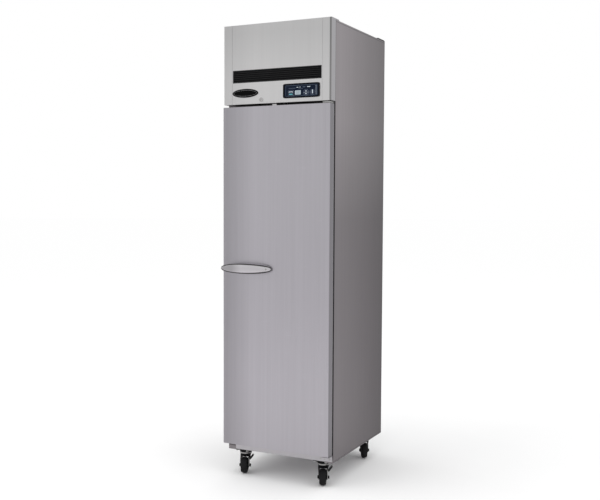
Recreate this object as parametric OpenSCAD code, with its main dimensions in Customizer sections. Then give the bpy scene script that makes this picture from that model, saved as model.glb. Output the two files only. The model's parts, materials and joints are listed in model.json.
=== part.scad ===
// Slim one-door reach-in refrigerator with a top-mounted condensing unit, on four swivel casters.
// Frame: X to the right seen from the front, Y to the back, Z up. The origin is on the floor,
// under the middle of the overall box. Lengths are in millimetres.
// Modules inside on_cabinet() are drawn from the cabinet's own corner: X from the middle,
// Y from the cabinet's front face, Z from the lower edge of the side panels.

/* [Cabinet] */
// Width over the side panels
cab_w = 547; // [540:1:570]
// Depth of the cabinet, from its front face to its back
body_d = 606; // [600:1:640]
// Height of the side panels
panel_h = 1989; // [1980:1:2010]
// Height of the side panels' lower edge above the floor
lift = 111; // [109:1:116]
// Thickness of an insulated wall with both skins
wall_t = 50; // [48:1:52]
// Thickness of the sheet metal
sheet_t = 1; // [0.8:0.1:1.2]

/* [Door] */
// Height of the door
door_h = 1579; // [1570:1:1580]
// Height of the door's lower edge above the side panels' lower edge
door_up = 41; // [40:1:44]
// Thickness of the door without its gasket
door_t = 42.2; // [40:0.1:46]
// Space between the door and the cabinet, which the gasket fills
door_gap = 10.5; // [9:0.1:12]
// Width of the gasket's section
gasket_w = 18; // [16:1:20]

/* [Handle] */
// Length of the handle plate
handle_l = 243; // [220:1:260]
// Height of the handle plate at its middle
handle_h = 41; // [36:1:56]
// How far the handle stands out from the door
handle_out = 42; // [36:1:50]
// Thickness of the handle plate
handle_t = 8; // [6:1:10]
// Height of the handle's centre above the side panels' lower edge
handle_z = 877; // [800:1:1100]

/* [Header] */
// Space between the door's top and the header's lower edge
header_gap = 12.5; // [11:0.5:15]
// How far the header stands above the side panels
header_rise = 5; // [3:1:8]
// How far the header stands out from the cabinet's face
header_out = 44.2; // [42:0.1:48]
// Width of each fixed post beside the hinged header panel
post_w = 44; // [40:1:50]
// Height of the air slot
slot_h = 57.5; // [40:0.5:70]
// Height of the air slot's lower edge above the header's lower edge
slot_up = 98; // [90:1:120]
// Louvre blades in the air slot
louvres = 6; // [5:1:8]

/* [Controller and lock] */
// Width of the controller's bezel
ctl_w = 182; // [150:1:190]
// Height of the controller's bezel
ctl_h = 64; // [56:1:70]
// Middle of the controller, to the right of the cabinet's middle
ctl_x = 127; // [100:1:130]
// Width of the oval badge
badge_w = 134; // [100:1:140]
// Height of the oval badge
badge_h = 40; // [30:1:50]
// Middle of the badge, to the left of the cabinet's middle
badge_x = 160; // [150:1:160]
// Middle of the lock, to the left of the cabinet's middle
lock_x = 77.5; // [70:0.5:80]

/* [Interior] */
// Heights of the three shelves above the side panels' lower edge
shelf_levels = [400, 760, 1120];
// Wires across each shelf
shelf_wires = 19; // [9:2:31]

/* [Casters] */
// Wheel diameter
wheel_d = 76; // [70:1:80]
// Wheel width
wheel_w = 30; // [26:1:32]
// Distance from the swivel axis to the wheel's axle
trail = 34.5; // [30:0.5:36]
// Distance of the swivel axes from the cabinet's middle
caster_x = 206; // [190:1:210]
// Distance of the front swivel axes from the cabinet's face
caster_front = 46; // [44:1:60]
// Distance of the rear swivel axes from the cabinet's face
caster_rear = 537; // [500:1:540]
// Angle of the front wheels from straight ahead
front_turn = 20; // [0:1:30]
// Angle of the rear wheels from straight ahead
rear_turn = 26; // [0:1:30]

/* [Hidden] */
$fn = 48;

fit = 0.05;              // radial clearance of a pin that turns in its hole
free = 0.3;              // clearance between pieces that pass each other
half_w = cab_w / 2;
door_out = door_t + door_gap;
y_face = (door_out + handle_out - body_d) / 2;

// heights above the side panels' lower edge
base_up = 4;
door_top = door_up + door_h;
header_z = door_top + header_gap;
header_top = panel_h + header_rise;
lap = gasket_w + 21;     // how far the door laps over the edge of the opening
open_z0 = door_up + lap;
open_z1 = door_top - lap;
deck_z = header_z - 1.5;

// the opening and the walls round it
room_w = cab_w - 2 * wall_t - 2 * sheet_t;
room_x = room_w / 2;
breaker_w = 12.5;
breaker_t = 3;
flange_x = room_x + breaker_w;
room_back = body_d - wall_t - 1;
seam = 0.4;              // joint between two foam slabs or two frame strips

// the door's pivot
pivot_x = half_w - 16;
pivot_y = -door_gap - door_t / 2 + 0.6;
top_pin_r = 4;
low_pin_r = 5;

// the header panel and its pivot
panel_x = half_w - post_w - 0.5;
panel_t = 1.2;
flap_pivot = 12;         // distance of the pivot from the panel's front and top
flap_pin_r = 3;
ctl_z = header_z + 17.5;
badge_z = header_z + 50;
lock_z = header_z + 17;
lock_r = 10;
lever_l = 60;
lever_y = -27.5;         // middle of the lock lever's thickness, from the cabinet's face
lever_rest = 67;         // the lever's angle above horizontal when unlocked

// machinery in the header
fan_x = 95;              // axis of the condenser fan
fan_z = deck_z + 148;
fan_r = 96;
coil_y = 36;
coil_t = 46;
comp_x = -120;
comp_y = 300;
comp_r = 74;
comp_z = deck_z + 24;
comp_h = 176;
stub_y = 80;             // the brazed stubs end this far from the compressor's axis

// evaporator under the ceiling
evap_y = 300;
evap_h = 140;
evap_x = 205;
evap_fan_r = 56;

// casters, heights above the floor
wheel_r = wheel_d / 2;
plate_top = lift + base_up;
race_r = 29;
race_z = plate_top - 17;
crown_t = 12;
axle_r = 4;
leg_t = 3;
leg_x = wheel_w / 2 + 2;
kingpin_r = 6;
arm_t = 3;               // thickness of the brake lever's arm
arm_room = arm_t + 2 * free;
arm_l = 36;
pedal_w = 20;

// ------------------------------------------------------------------ helpers

module on_cabinet() translate([0, y_face, lift]) children();

// a box between two opposite corners
module block(a, b) translate(a) cube(b - a);

// both halves of something symmetric about the middle plane
module both_sides() {
    children();
    mirror([1, 0, 0]) children();
}

// an oval outline from a formula: width w, height h, blunter than an ellipse for n over 2
module oval(w, h, n = 2, steps = 48)
    polygon([for (i = [0 : steps - 1])
        let (a = 360 * i / steps, c = cos(a), s = sin(a))
        [w / 2 * sign(c) * pow(abs(c), 2 / n), h / 2 * sign(s) * pow(abs(s), 2 / n)]]);

// a cylinder along X, or along Y
module along_x(x0, x1, r) translate([x0, 0, 0]) rotate([0, 90, 0]) cylinder(r = r, h = x1 - x0);
module along_y(y0, y1, r) translate([0, y0, 0]) rotate([-90, 0, 0]) cylinder(r = r, h = y1 - y0);

// a plate drawn in X and Z, with its thickness along Y from y0 to y1
module plate_y(y0, y1) translate([0, y1, 0]) rotate([90, 0, 0]) linear_extrude(y1 - y0) children();

// a tube swept along points, as rings of n sides
function unit(v) = v / norm(v);
function run_dir(p, i) = unit(p[min(i + 1, len(p) - 1)] - p[max(i - 1, 0)]);
function side_dir(d) = unit(cross(d, abs(d[2]) > 0.9 ? [1, 0, 0] : [0, 0, 1]));
module swept_tube(p, r, n = 10) {
    last = len(p) - 1;
    pts = [for (i = [0 : last]) let (d = run_dir(p, i), s = side_dir(d), u = cross(s, d))
        for (k = [0 : n - 1]) p[i] + r * (cos(360 * k / n) * s + sin(360 * k / n) * u)];
    walls = [for (i = [0 : last - 1], k = [0 : n - 1])
        let (a = i * n + k, b = i * n + (k + 1) % n) [a, b, b + n, a + n]];
    polyhedron(pts, concat([[for (k = [n - 1 : -1 : 0]) k]], walls, [[for (k = [0 : n - 1]) last * n + k]]));
}

// ------------------------------------------------------------------ cabinet shell

module side_panel() on_cabinet() linear_extrude(panel_h) {
    rear_flange = 22;
    translate([half_w - sheet_t, 0]) square([sheet_t, body_d - sheet_t]);
    translate([flange_x, 0]) square([half_w - flange_x, sheet_t]);
    translate([half_w - rear_flange, body_d - 2 * sheet_t]) square([rear_flange, sheet_t]);
}

module side_panel_right() color("darkgray") side_panel();
module side_panel_left() color("darkgray") mirror([1, 0, 0]) side_panel();

// the back, with rows of vent slots behind the machinery and the hole of the power inlet
inlet_x = 190;
inlet_z = deck_z + 60;
inlet_r = 11;
gland_r = 7;
gland_l = 12;
module back_panel() color("silver") on_cabinet() difference() {
    rows = 9;
    slot = [130, 8];
    block([-half_w, body_d - sheet_t, base_up], [half_w, body_d, panel_h - 4]);
    plate_y(body_d - 2 * sheet_t, body_d + sheet_t)
        for (side = [-1, 1], row = [0 : rows - 1])
            translate([side * 80 - slot[0] / 2, deck_z + 130 + row * 20]) square(slot);
    translate([inlet_x, 0, inlet_z]) along_y(body_d - 2 * sheet_t, body_d + sheet_t, inlet_r);
}

module base_pan() color("silver") on_cabinet() {
    edge = half_w - sheet_t;
    difference() {
        block([-edge, sheet_t, base_up], [edge, body_d - 2 * sheet_t, base_up + sheet_t]);
        hose_path(hose_r + 1, -20);
    }
    block([-flange_x, 0, base_up], [flange_x, sheet_t, open_z0 - breaker_w]);
}

module roof_deck() color("silver") on_cabinet() {
    edge = half_w - sheet_t;
    block([-edge, sheet_t, deck_z - sheet_t], [edge, body_d - 2 * sheet_t, deck_z]);
    block([-flange_x, 0, open_z1 + breaker_w], [flange_x, sheet_t, deck_z]);
}

// five slabs of foam: two sides, back, floor and ceiling
module foam_insulation() color("khaki") on_cabinet() {
    z0 = base_up + sheet_t;
    z1 = deck_z - sheet_t;
    liner_x = room_x + sheet_t;
    edge = half_w - sheet_t;
    y1 = body_d - 2 * sheet_t;
    both_sides() block([liner_x + seam, breaker_t + seam, z0], [edge, y1, z1]);
    difference() {
        block([-liner_x, room_back + sheet_t, z0], [liner_x, y1, z1]);
        hose_path(hose_r + 0.5, -20);
    }
    block([-liner_x, breaker_t + seam, z0], [liner_x, room_back + sheet_t - seam, open_z0 - sheet_t]);
    block([-liner_x, breaker_t + seam, open_z1 + sheet_t], [liner_x, room_back + sheet_t - seam, z1]);
}

module inner_liner() color("gainsboro") on_cabinet() difference() {
    block([-room_x - sheet_t, breaker_t + seam, open_z0 - sheet_t],
          [room_x + sheet_t, room_back + sheet_t, open_z1 + sheet_t]);
    block([-room_x, 0, open_z0], [room_x, room_back, open_z1]);
    hose_path(hose_r + 0.5, hose_z);
}

// four plastic strips round the opening, each with a lip into the throat
module breaker_frame() color("dimgray") on_cabinet() {
    lip_d = 25;
    lip_t = 2;
    both_sides() {
        block([room_x, 0, open_z0 - breaker_w], [flange_x, breaker_t, open_z1 + breaker_w]);
        block([room_x - lip_t, 0, open_z0 + seam], [room_x, lip_d, open_z1 - seam]);
    }
    inner = room_x - lip_t - seam;
    for (up = [0, 1]) translate([0, 0, up ? open_z1 : open_z0]) mirror([0, 0, up ? 0 : 1]) {
        block([-room_x + seam, 0, 0], [room_x - seam, breaker_t, breaker_w]);
        block([-inner, 0, -lip_t], [inner, lip_d, 0]);
    }
}

// small rounded caps over the rear ends of the side panels' top edges
module rear_corner_caps() color("dimgray") on_cabinet() both_sides() {
    cap_l = 98;
    cap_w = 16;
    cap_h = header_rise;
    fall = 20;
    arc = [for (a = [0 : 10 : 90]) [body_d - fall + fall * sin(a), panel_h + cap_h * cos(a)]];
    translate([half_w - cap_w, 0, 0]) rotate([90, 0, 90]) linear_extrude(cap_w)
        polygon(concat([[body_d - cap_l, panel_h], [body_d - cap_l + 6, panel_h + cap_h]], arc));
}

// ------------------------------------------------------------------ header

// a post each side, a rail behind the flap's top and one behind its bottom
module header_frame() color("lightgray") on_cabinet() {
    y0 = -header_out;
    t = panel_t;
    seat = half_w - post_w;
    post_r = 3;
    post_fold = 30;
    both_sides() {
        translate([0, 0, header_z]) linear_extrude(header_top - header_z) difference() {
            intersection() {
                round_front(half_w, y0, 0, post_r);
                translate([seat, y0]) square([post_w, header_out]);
            }
            intersection() {
                round_front(half_w - t, y0 + t, 1, post_r - t);
                translate([seat + t, y0]) square([post_w, header_out + 2]);
            }
            translate([seat - 1, y0 + post_fold]) square([t + 2, header_out]);
        }
        block([seat, y0 + post_r, header_z], [half_w, -4, header_z + t]);
        block([seat, y0 + post_r, header_top - t], [half_w, 0, header_top]);
        block([half_w - 24, -t, header_z + 60], [half_w, 0, header_top]);
        block([half_w - 24, -t, panel_h], [half_w, 35, header_top]);
        translate([0, y0 + flap_pivot, header_top - flap_pivot]) along_x(panel_x - 7, seat + t, flap_pin_r);
    }
    rail_x = seat + t;
    rail_y = -15;
    block([-rail_x, rail_y, header_top - t], [rail_x, 30, header_top]);
    block([-rail_x, rail_y, header_top - 28], [rail_x, rail_y + t, header_top]);
    block([-rail_x, -20, header_z + 2], [rail_x, 0, header_z + 2 + t]);
    block([-rail_x, -20, header_z + 2], [rail_x, -20 + t, header_z + 34]);
}

// the flap: a folded panel that carries the air grille, the controller, the badge and the lock
module header_panel() color("lightgray") on_cabinet() difference() {
    y0 = -header_out;
    t = panel_t;
    fold = 20;
    union() {
        block([-panel_x, y0, header_z], [panel_x, y0 + t, header_top]);
        both_sides() block([panel_x - t, y0, header_z], [panel_x, y0 + fold, header_top]);
        block([-panel_x, y0, header_top - t], [panel_x, y0 + fold, header_top]);
        block([-panel_x, y0, header_z], [panel_x, y0 + fold + 2, header_z + t]);
    }
    slot_x = panel_x - 3;
    block([-slot_x, y0 - t, header_z + slot_up], [slot_x, y0 + 2 * t, header_z + slot_up + slot_h]);
    ctl_cut = 4;
    block([ctl_x - ctl_w / 2 + ctl_cut, y0 - t, ctl_z + ctl_cut],
          [ctl_x + ctl_w / 2 - ctl_cut, y0 + 2 * t, ctl_z + ctl_h - ctl_cut]);
    translate([-lock_x, 0, lock_z]) along_y(y0 - t, y0 + 2 * t, lock_r - 1.5);
    block([-lock_x + 14, lever_y - 4, header_z - t], [-lock_x + lever_l + 8, lever_y + 4, header_z + 2 * t]);
    both_sides() translate([0, y0 + flap_pivot, header_top - flap_pivot])
        along_x(panel_x - 2 * t, panel_x + t, flap_pin_r + fit);
}

// black insert: a frame with steep blades that overlap, set back in the air slot
module louvre_grille() color("black") on_cabinet() {
    x = panel_x - 3;
    rim = 3;
    depth = 13;
    set_back = 1.5;
    blade_t = 1.5;
    pitch = (slot_h - 2 * rim) / louvres;
    translate([0, -header_out + set_back, header_z + slot_up]) {
        difference() {
            block([-x, 0, 0], [x, depth, slot_h]);
            block([-x + rim, -1, rim], [x - rim, depth + 1, slot_h - rim]);
        }
        intersection() {
            block([-x + 1, 0, 1], [x - 1, depth, slot_h - 1]);
            for (i = [0 : louvres]) translate([0, 1, rim + (i + 0.3) * pitch])
                rotate([-46, 0, 0]) block([-x, 0, 0], [x, 1.5 * pitch, blade_t]);
        }
    }
}

// the controller: a box behind the flap with a bezel in front, and a recess for each key
key_y = -header_out - 2.2;
key_back = -header_out + 1.4;
key_deep = -header_out + 2.5;
mode_at = [-51.5, -9.7];
mode_size = [25, 22];
arrows_at = [24, -10];
arrows_r = 13;
arrows_split = 0.7;
power_at = [54.5, -10];
power_r = 11.5;
module ctl_place(at) translate([ctl_x + at[0], 0, ctl_z + ctl_h / 2 + at[1]]) children();
module controller_case() color("midnightblue") on_cabinet() difference() {
    y0 = -header_out;
    bezel_t = 3;
    face = y0 - 1.4;
    body = [ctl_w - 8.6, ctl_h - 8.6];
    union() {
        ctl_place([0, 0]) plate_y(y0 - bezel_t, y0) oval(ctl_w, ctl_h, 14, 96);
        ctl_place([0, 0]) plate_y(y0 - 1, y0 + 20) square(body, true);
    }
    ctl_place([0, 0]) plate_y(y0 - 5, face) square([ctl_w - 14, ctl_h - 12], true);
    ctl_place(mode_at) plate_y(y0 - 5, key_deep) square(mode_size + 2 * [free, free], true);
    ctl_place(arrows_at) along_y(y0 - 5, key_deep, arrows_r + free);
    ctl_place(power_at) along_y(y0 - 5, key_deep, power_r + free);
}

// two half-round keys with a slit between them
module arrow_key(side) on_cabinet() ctl_place(arrows_at) intersection() {
    along_y(key_y, key_back, arrows_r);
    mirror([0, 0, side > 0 ? 0 : 1])
        block([-2 * arrows_r, 2 * key_y, arrows_split], [2 * arrows_r, 0, 2 * arrows_r]);
}
module key_up() color("slategray") arrow_key(1);
module key_down() color("slategray") arrow_key(-1);
module key_power() color("slategray") on_cabinet() ctl_place(power_at) along_y(key_y, key_back, power_r);
module key_mode() color("teal") on_cabinet()
    ctl_place(mode_at) plate_y(key_y, key_back) square(mode_size, true);

module badge_plate() color("black") on_cabinet() translate([-badge_x, 0, badge_z]) {
    y0 = -header_out;
    plate_y(y0 - 2, y0) oval(badge_w, badge_h);
    plate_y(y0 - 3, y0 - 2) difference() {
        oval(badge_w - 2, badge_h - 2);
        oval(badge_w - 9, badge_h - 9);
    }
}

// cam lock: a fixed barrel, and a plug with the lever that drops behind the door's keeper
module lock_barrel() color("silver") on_cabinet() translate([-lock_x, 0, lock_z]) difference() {
    union() {
        along_y(-header_out - 2.5, -header_out, lock_r);
        along_y(-header_out - 1, lever_y - 4, lock_r - 1.7);
    }
    along_y(-header_out - 4, lever_y, 6 + fit);
}

module lock_lever() color("gray") on_cabinet() translate([-lock_x, 0, lock_z]) {
    difference() {
        along_y(-header_out - 2, lever_y + 1.5, 6);
        block([-0.9, -header_out - 3, -4], [0.9, -header_out + 6, 4]);
    }
    rotate([0, -lever_rest, 0]) {
        along_y(lever_y - 1.5, lever_y + 1.5, 8.5);
        block([0, lever_y - 1.5, -4.5], [lever_l, lever_y + 1.5, 4.5]);
    }
}

module reed_switch() color("black") on_cabinet()
    block([14, -16, header_z - 8], [34, -2, header_z + 2]);

// ------------------------------------------------------------------ door

// a rectangle whose two front corners have radius r
module round_front(x, y0, y1, r) {
    translate([-x, y0 + r]) square([2 * x, y1 - y0 - r]);
    translate([-x + r, y0]) square([2 * (x - r), r + 1]);
    for (side = [-1, 1]) translate([side * (x - r), y0 + r]) circle(r = r);
}

door_r = 4;
skin_y = -door_gap - 3.5;
module door_skin() color("darkgray") on_cabinet() difference() {
    t = panel_t;
    translate([0, 0, door_up]) linear_extrude(door_h) round_front(half_w, -door_out, skin_y, door_r);
    translate([0, 0, door_up + t]) linear_extrude(door_h - 2 * t)
        round_front(half_w - t, -door_out + t, skin_y + 1, door_r - t);
    translate([pivot_x, pivot_y, 0]) {
        translate([0, 0, door_up - 1]) cylinder(r = 10 + 0.1, h = 3);
        translate([0, 0, door_top - 2]) cylinder(r = 8 + 0.1, h = 3);
    }
}

dike_x = room_x - 10.5;
dike_z = 11;
dike_y = 7;
module door_liner() color("gainsboro") on_cabinet() difference() {
    union() {
        block([-half_w + 1, skin_y, door_up + 1], [half_w - 1, -door_gap, door_top - 1]);
        block([-dike_x, skin_y, open_z0 + dike_z], [dike_x, dike_y, open_z1 - dike_z]);
    }
    block([-dike_x + 2, -door_gap - 5, open_z0 + dike_z + 2], [dike_x - 2, dike_y - 2, open_z1 - dike_z - 2]);
}

module door_foam() color("khaki") on_cabinet() difference() {
    in = panel_t + 0.1;
    union() {
        translate([0, 0, door_up + in]) linear_extrude(door_h - 2 * in)
            round_front(half_w - in, -door_out + in, skin_y - 0.1, door_r - in);
        block([-dike_x + 2.1, skin_y - 1, open_z0 + dike_z + 2.1],
              [dike_x - 2.1, dike_y - 2.1, open_z1 - dike_z - 2.1]);
    }
    translate([pivot_x, pivot_y, 0]) {
        translate([0, 0, door_up]) cylinder(r = 10.1, h = 30);
        translate([0, 0, door_top - 30]) cylinder(r = 8.1, h = 30);
    }
}

module door_gasket() color("gray") on_cabinet() difference() {
    x = half_w - 19;
    y0 = -door_gap + 0.05;
    block([-x, y0, door_up + 19], [x, -free, door_top - 19]);
    in = x - gasket_w;
    block([-in, y0 - 1, door_up + 19 + gasket_w], [in, 1, door_top - 19 - gasket_w]);
}

// the bushings that take the hinge pins, let into the door's top and bottom
module hinge_bushings() color("dimgray") on_cabinet() translate([pivot_x, pivot_y, 0]) {
    translate([0, 0, door_up]) difference() {
        translate([0, 0, -4.5]) cylinder(r = 10, h = 32);
        translate([0, 0, -6]) cylinder(r = low_pin_r + fit, h = 24);
    }
    translate([0, 0, door_top]) difference() {
        translate([0, 0, -28]) cylinder(r = 8, h = 28);
        translate([0, 0, -20]) cylinder(r = top_pin_r + fit, h = 22);
    }
}

// a leaf-shaped pull: its right end stands on the door and the rest runs clear of it
handle_x0 = -half_w + 14.5;
module handle_plan() {
    steps = 16;
    rise = function(s) let (k = min(1, s * 1.55)) 1 - pow(1 - k, 2.4);
    front = [for (i = [0 : steps]) let (s = i / steps)
        [handle_x0 + handle_l * (1 - s), -handle_t - (handle_out - handle_t) * rise(s)]];
    back = [for (i = [steps : -1 : 0]) let (s = i / steps)
        [handle_x0 + handle_l * (1 - s), -(handle_out - handle_t) * rise(max(0, s - 0.13))]];
    polygon(concat(front, back));
}
module door_handle() color("silver") on_cabinet() translate([0, -door_out, handle_z]) {
    intersection() {
        translate([0, 0, -handle_h]) linear_extrude(2 * handle_h) handle_plan();
        translate([handle_x0 + handle_l / 2, 0, 0])
            plate_y(-2 * handle_out, 1) oval(handle_l, handle_h, 2.3, 56);
    }
    translate([handle_x0 + handle_l / 2, 0, 0]) along_y(-handle_out + 3, 0, 9);
}

module lock_keeper() color("silver") on_cabinet() {
    x0 = -30;
    x1 = -8;
    lip = 10;
    block([x0, -41, door_top], [x1, lever_y + 4.5, door_top + 1.5]);
    block([x0, lever_y + 3, door_top], [x1, lever_y + 4.5, door_top + lip]);
}

// ------------------------------------------------------------------ hinges

module top_hinge() color("silver") on_cabinet() difference() {
    z = door_top + 3;
    union() {
        block([half_w - 42, -43, z], [half_w - 6, 0, z + 5]);
        block([half_w - 42, -3, z], [half_w - 6, 0, z + 42]);
        translate([pivot_x, pivot_y, door_top - 14]) cylinder(r = top_pin_r, h = 19);
    }
    for (x = [half_w - 33, half_w - 14]) translate([x, 0, z + 28]) along_y(-4, 1, 2.7);
}

module bottom_hinge() color("silver") on_cabinet() difference() {
    z = door_up - 10;
    union() {
        block([half_w - 68, -3, base_up + 3], [half_w - 3, 0, z + 5]);
        block([half_w - 38, -44, z], [half_w - 3, 0, z + 5]);
        translate([pivot_x, pivot_y, z]) cylinder(r = low_pin_r, h = 23);
    }
    for (x = [half_w - 60, half_w - 40, half_w - 16]) translate([x, 0, base_up + 14]) along_y(-4, 1, 2.7);
}

module pan_screw() {
    along_y(-3, 0, 2.6);
    along_y(-5.6, -3, 4.6);
}
module hinge_screws() color("silver") on_cabinet() {
    for (x = [half_w - 60, half_w - 40, half_w - 16]) translate([x, 0, base_up + 14]) pan_screw();
    for (x = [half_w - 33, half_w - 14]) translate([x, 0, door_top + 31]) pan_screw();
}

// ------------------------------------------------------------------ interior

pilaster_y = [75, 490];
pilaster_d = 8;
pilaster_w = 18;
module shelf_pilasters() color("silver") on_cabinet() both_sides() for (y = pilaster_y) {
    z0 = open_z0 + 30;
    length = 1240;
    slot_pitch = 40;
    face_x = room_x - pilaster_d;
    translate([face_x, y, z0]) rotate([90, 0, 90]) linear_extrude(1.4) difference() {
        translate([-pilaster_w / 2, 0]) square([pilaster_w, length]);
        for (z = [20 : slot_pitch : length - 30]) translate([-2.5, z]) square([5, 14]);
    }
    for (side = [-1, 1]) translate([face_x + 1.3, y + side * (pilaster_w / 2 - 0.7) - 0.7, z0])
        cube([pilaster_d - 1.4, 1.4, length]);
}

module shelf_clips() color("silver") on_cabinet() both_sides()
    for (y = pilaster_y, z = shelf_levels) translate([room_x - pilaster_d, y, z]) {
        block([-13.5, -7, -9], [-0.1, 7, -6.2]);
        block([-2.6, -7, -18], [-0.1, 7, 5]);
        block([-13.5, -7, -9], [-11.5, 7, -2]);
    }

// welded wire shelves: a frame of thick wire with thin wires laid across it
module wire_shelf() {
    x = room_x - pilaster_d - 8;
    y0 = 42;
    y1 = 528;
    frame_r = 3;
    wire_r = 2;
    for (side = [-1, 1]) translate([side * x, (y0 + y1) / 2, 0]) rotate([90, 22.5, 0])
        cylinder(r = frame_r, h = y1 - y0, center = true, $fn = 8);
    for (y = [y0 + 3, (2 * y0 + y1) / 3, (y0 + 2 * y1) / 3, y1 - 3]) translate([0, y, 0]) rotate([22.5, 0, 0])
        rotate([0, 90, 0]) cylinder(r = frame_r, h = 2 * x, center = true, $fn = 8);
    pitch = 2 * (x - 12) / (shelf_wires - 1);
    for (i = [0 : shelf_wires - 1])
        translate([(i - (shelf_wires - 1) / 2) * pitch, (y0 + y1) / 2, frame_r + wire_r - 1])
            rotate([90, 22.5, 0]) cylinder(r = wire_r, h = y1 - y0, center = true, $fn = 8);
}
module wire_shelves() color("white") on_cabinet()
    for (z = shelf_levels) translate([0, 0, z - 2.9]) wire_shelf();

module interior_light() color("white") on_cabinet()
    block([-150, 40, open_z1 - 14], [150, 66, open_z1]);

evap_z = open_z1 - evap_h;
evap_mid = evap_z + evap_h / 2;
module evaporator_housing() color("gainsboro") on_cabinet() {
    t = 1.5;
    y1 = room_back;
    difference() {
        block([-evap_x, evap_y, evap_z], [evap_x, y1, open_z1]);
        block([-evap_x + t, evap_y + t, evap_z + t], [evap_x - t, y1 + 1, open_z1 + 1]);
        translate([0, 0, evap_mid]) along_y(evap_y - 1, evap_y + 2 * t, evap_fan_r + 4);
        for (y = [evap_y + 60 : 24 : evap_y + 180])
            block([-170, y, evap_z - 1], [170, y + 12, evap_z + 2 * t]);
    }
    translate([0, 0, evap_mid]) {
        for (r = [20, 34, 48]) difference() {
            along_y(evap_y - 4, evap_y - 2, r + 1);
            along_y(evap_y - 5, evap_y - 1, r - 1);
        }
        for (a = [45, 135]) rotate([0, a, 0])
            block([-evap_fan_r - 7, evap_y - 2.2, -1.5], [evap_fan_r + 7, evap_y, 1.5]);
    }
}

// a half ring of tube in the plane x-z, its two ends on x = 0 at z = -gap and z = gap, bulging to +X
module u_bend(gap, r) rotate([90, 0, 0]) rotate([0, 0, -90]) rotate_extrude(angle = 180)
    translate([gap, 0]) circle(r = r);

// coil pack inside the housing, with the fan motor on a bracket in front of it
module evaporator_unit() color("silver") on_cabinet() {
    coil_x = 170;
    coil_y0 = evap_y + 110;
    block([-coil_x, coil_y0, evap_z + 14], [coil_x, evap_y + 190, open_z1 - 8]);
    both_sides() for (y = [26, 54], z = [36, 84])
        translate([coil_x - 0.5, coil_y0 + y, evap_z + z]) u_bend(12, 4);
    translate([0, 0, evap_mid]) difference() {
        union() {
            along_y(evap_y + 36, evap_y + 82, 30);
            along_y(evap_y + 28, evap_y + 36, 10);
            both_sides() block([33, evap_y + 64, -5], [36, coil_y0 + 2, 5]);
            block([-36, evap_y + 64, -5], [36, evap_y + 67, 5]);
        }
        along_y(evap_y + 26, evap_y + 62, 3 + fit);
    }
}

// four pitched blades on a hub, turning about Y
module fan_wheel(r, hub_r, depth, blades) {
    difference() {
        along_y(0, depth, hub_r);
        along_y(-1, 3, hub_r - 4);
    }
    intersection() {
        for (i = [0 : blades - 1]) rotate([0, i * 360 / blades, 0])
            translate([0, depth / 2, 0]) rotate([0, 0, 30])
            block([-r * 0.32, -0.8, hub_r - 2], [r * 0.32, 0.8, r + 5]);
        along_y(-20, depth + 20, r);
    }
}

module evaporator_fan() color("black") on_cabinet() translate([0, evap_y + 8, evap_mid]) {
    fan_wheel(evap_fan_r, 17, 16, 5);
    along_y(10, 50, 3);
}

// ------------------------------------------------------------------ machinery

module unit_tray() color("silver") on_cabinet() {
    z = deck_z;
    block([-235, 32, z + 12], [235, 560, z + 13.5]);
    both_sides() block([233.5, 32, z], [235, 560, z + 12.5]);
    both_sides() block([90, 32, z], [92, 560, z + 12.5]);
}

module rounded_can(r, h, c) rotate_extrude() intersection() {
    union() {
        square([r - c, h]);
        translate([0, c]) square([r, h - 2 * c]);
        translate([r - c, c]) circle(r = c);
        translate([r - c, h - c]) circle(r = c);
    }
    square([r + 1, h + 1]);
}

module compressor() color("black") on_cabinet() translate([comp_x, comp_y, comp_z]) {
    rounded_can(comp_r, comp_h, 34);
    translate([0, 0, comp_h * 0.48]) cylinder(r = comp_r + 4, h = 5);
    difference() {
        block([-92, -76, -3], [92, 76, 1]);
        for (x = [-80, 80], y = [-62, 62]) translate([x, y, -5]) cylinder(r = 8, h = 8);
    }
    block([comp_r - 8, -28, 60], [comp_r + 22, 28, 118]);
    translate([30, 0, 118]) along_y(-stub_y, -60, 6.5);
    translate([-30, 0, 112]) along_y(60, stub_y, 8.5);
}

module compressor_mounts() color("dimgray") on_cabinet() translate([comp_x, comp_y, comp_z])
    for (x = [-80, 80], y = [-62, 62]) translate([x, y, 0]) {
        translate([0, 0, -10.4]) cylinder(r = 12, h = 7.2);
        translate([0, 0, -4]) cylinder(r = 7.9, h = 6);
        translate([0, 0, 1.2]) cylinder(r = 10, h = 3);
        translate([0, 0, 4]) cylinder(r = 6.5, h = 5, $fn = 6);
    }

coil_x0 = -26;
coil_x1 = 216;
coil_z0 = deck_z + 13.6;
coil_h = 264;
coil_tubes = 10;         // the lowest is the outlet and the highest the inlet
coil_low = 17.5;         // height of the lowest tube above the coil's foot
coil_pitch = 25;
coil_stub = 8;           // the ends of those two stand out this far
shroud_d = 34;
module condenser_coil() color("silver") on_cabinet() {
    block([coil_x0 + 1.2, coil_y, coil_z0], [coil_x1 - 1.2, coil_y + coil_t, coil_z0 + coil_h]);
    for (x = [coil_x0, coil_x1 - 1.5])
        block([x, coil_y - 4, coil_z0], [x + 1.5, coil_y + coil_t, coil_z0 + coil_h]);
    translate([0, coil_y + coil_t / 2, coil_z0]) {
        for (i = [0 : 2 : coil_tubes - 2])
            translate([coil_x1 - 0.2, 0, coil_low + (i + 0.5) * coil_pitch]) u_bend(coil_pitch / 2, 4.5);
        for (i = [1 : 2 : coil_tubes - 3])
            translate([coil_x0 + 0.2, 0, coil_low + (i + 0.5) * coil_pitch])
            mirror([1, 0, 0]) u_bend(coil_pitch / 2, 4.5);
        for (i = [0, coil_tubes - 1])
            translate([0, 0, coil_low + i * coil_pitch]) along_x(coil_x0 - coil_stub, coil_x0 + 1, 4.5);
    }
}

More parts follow.
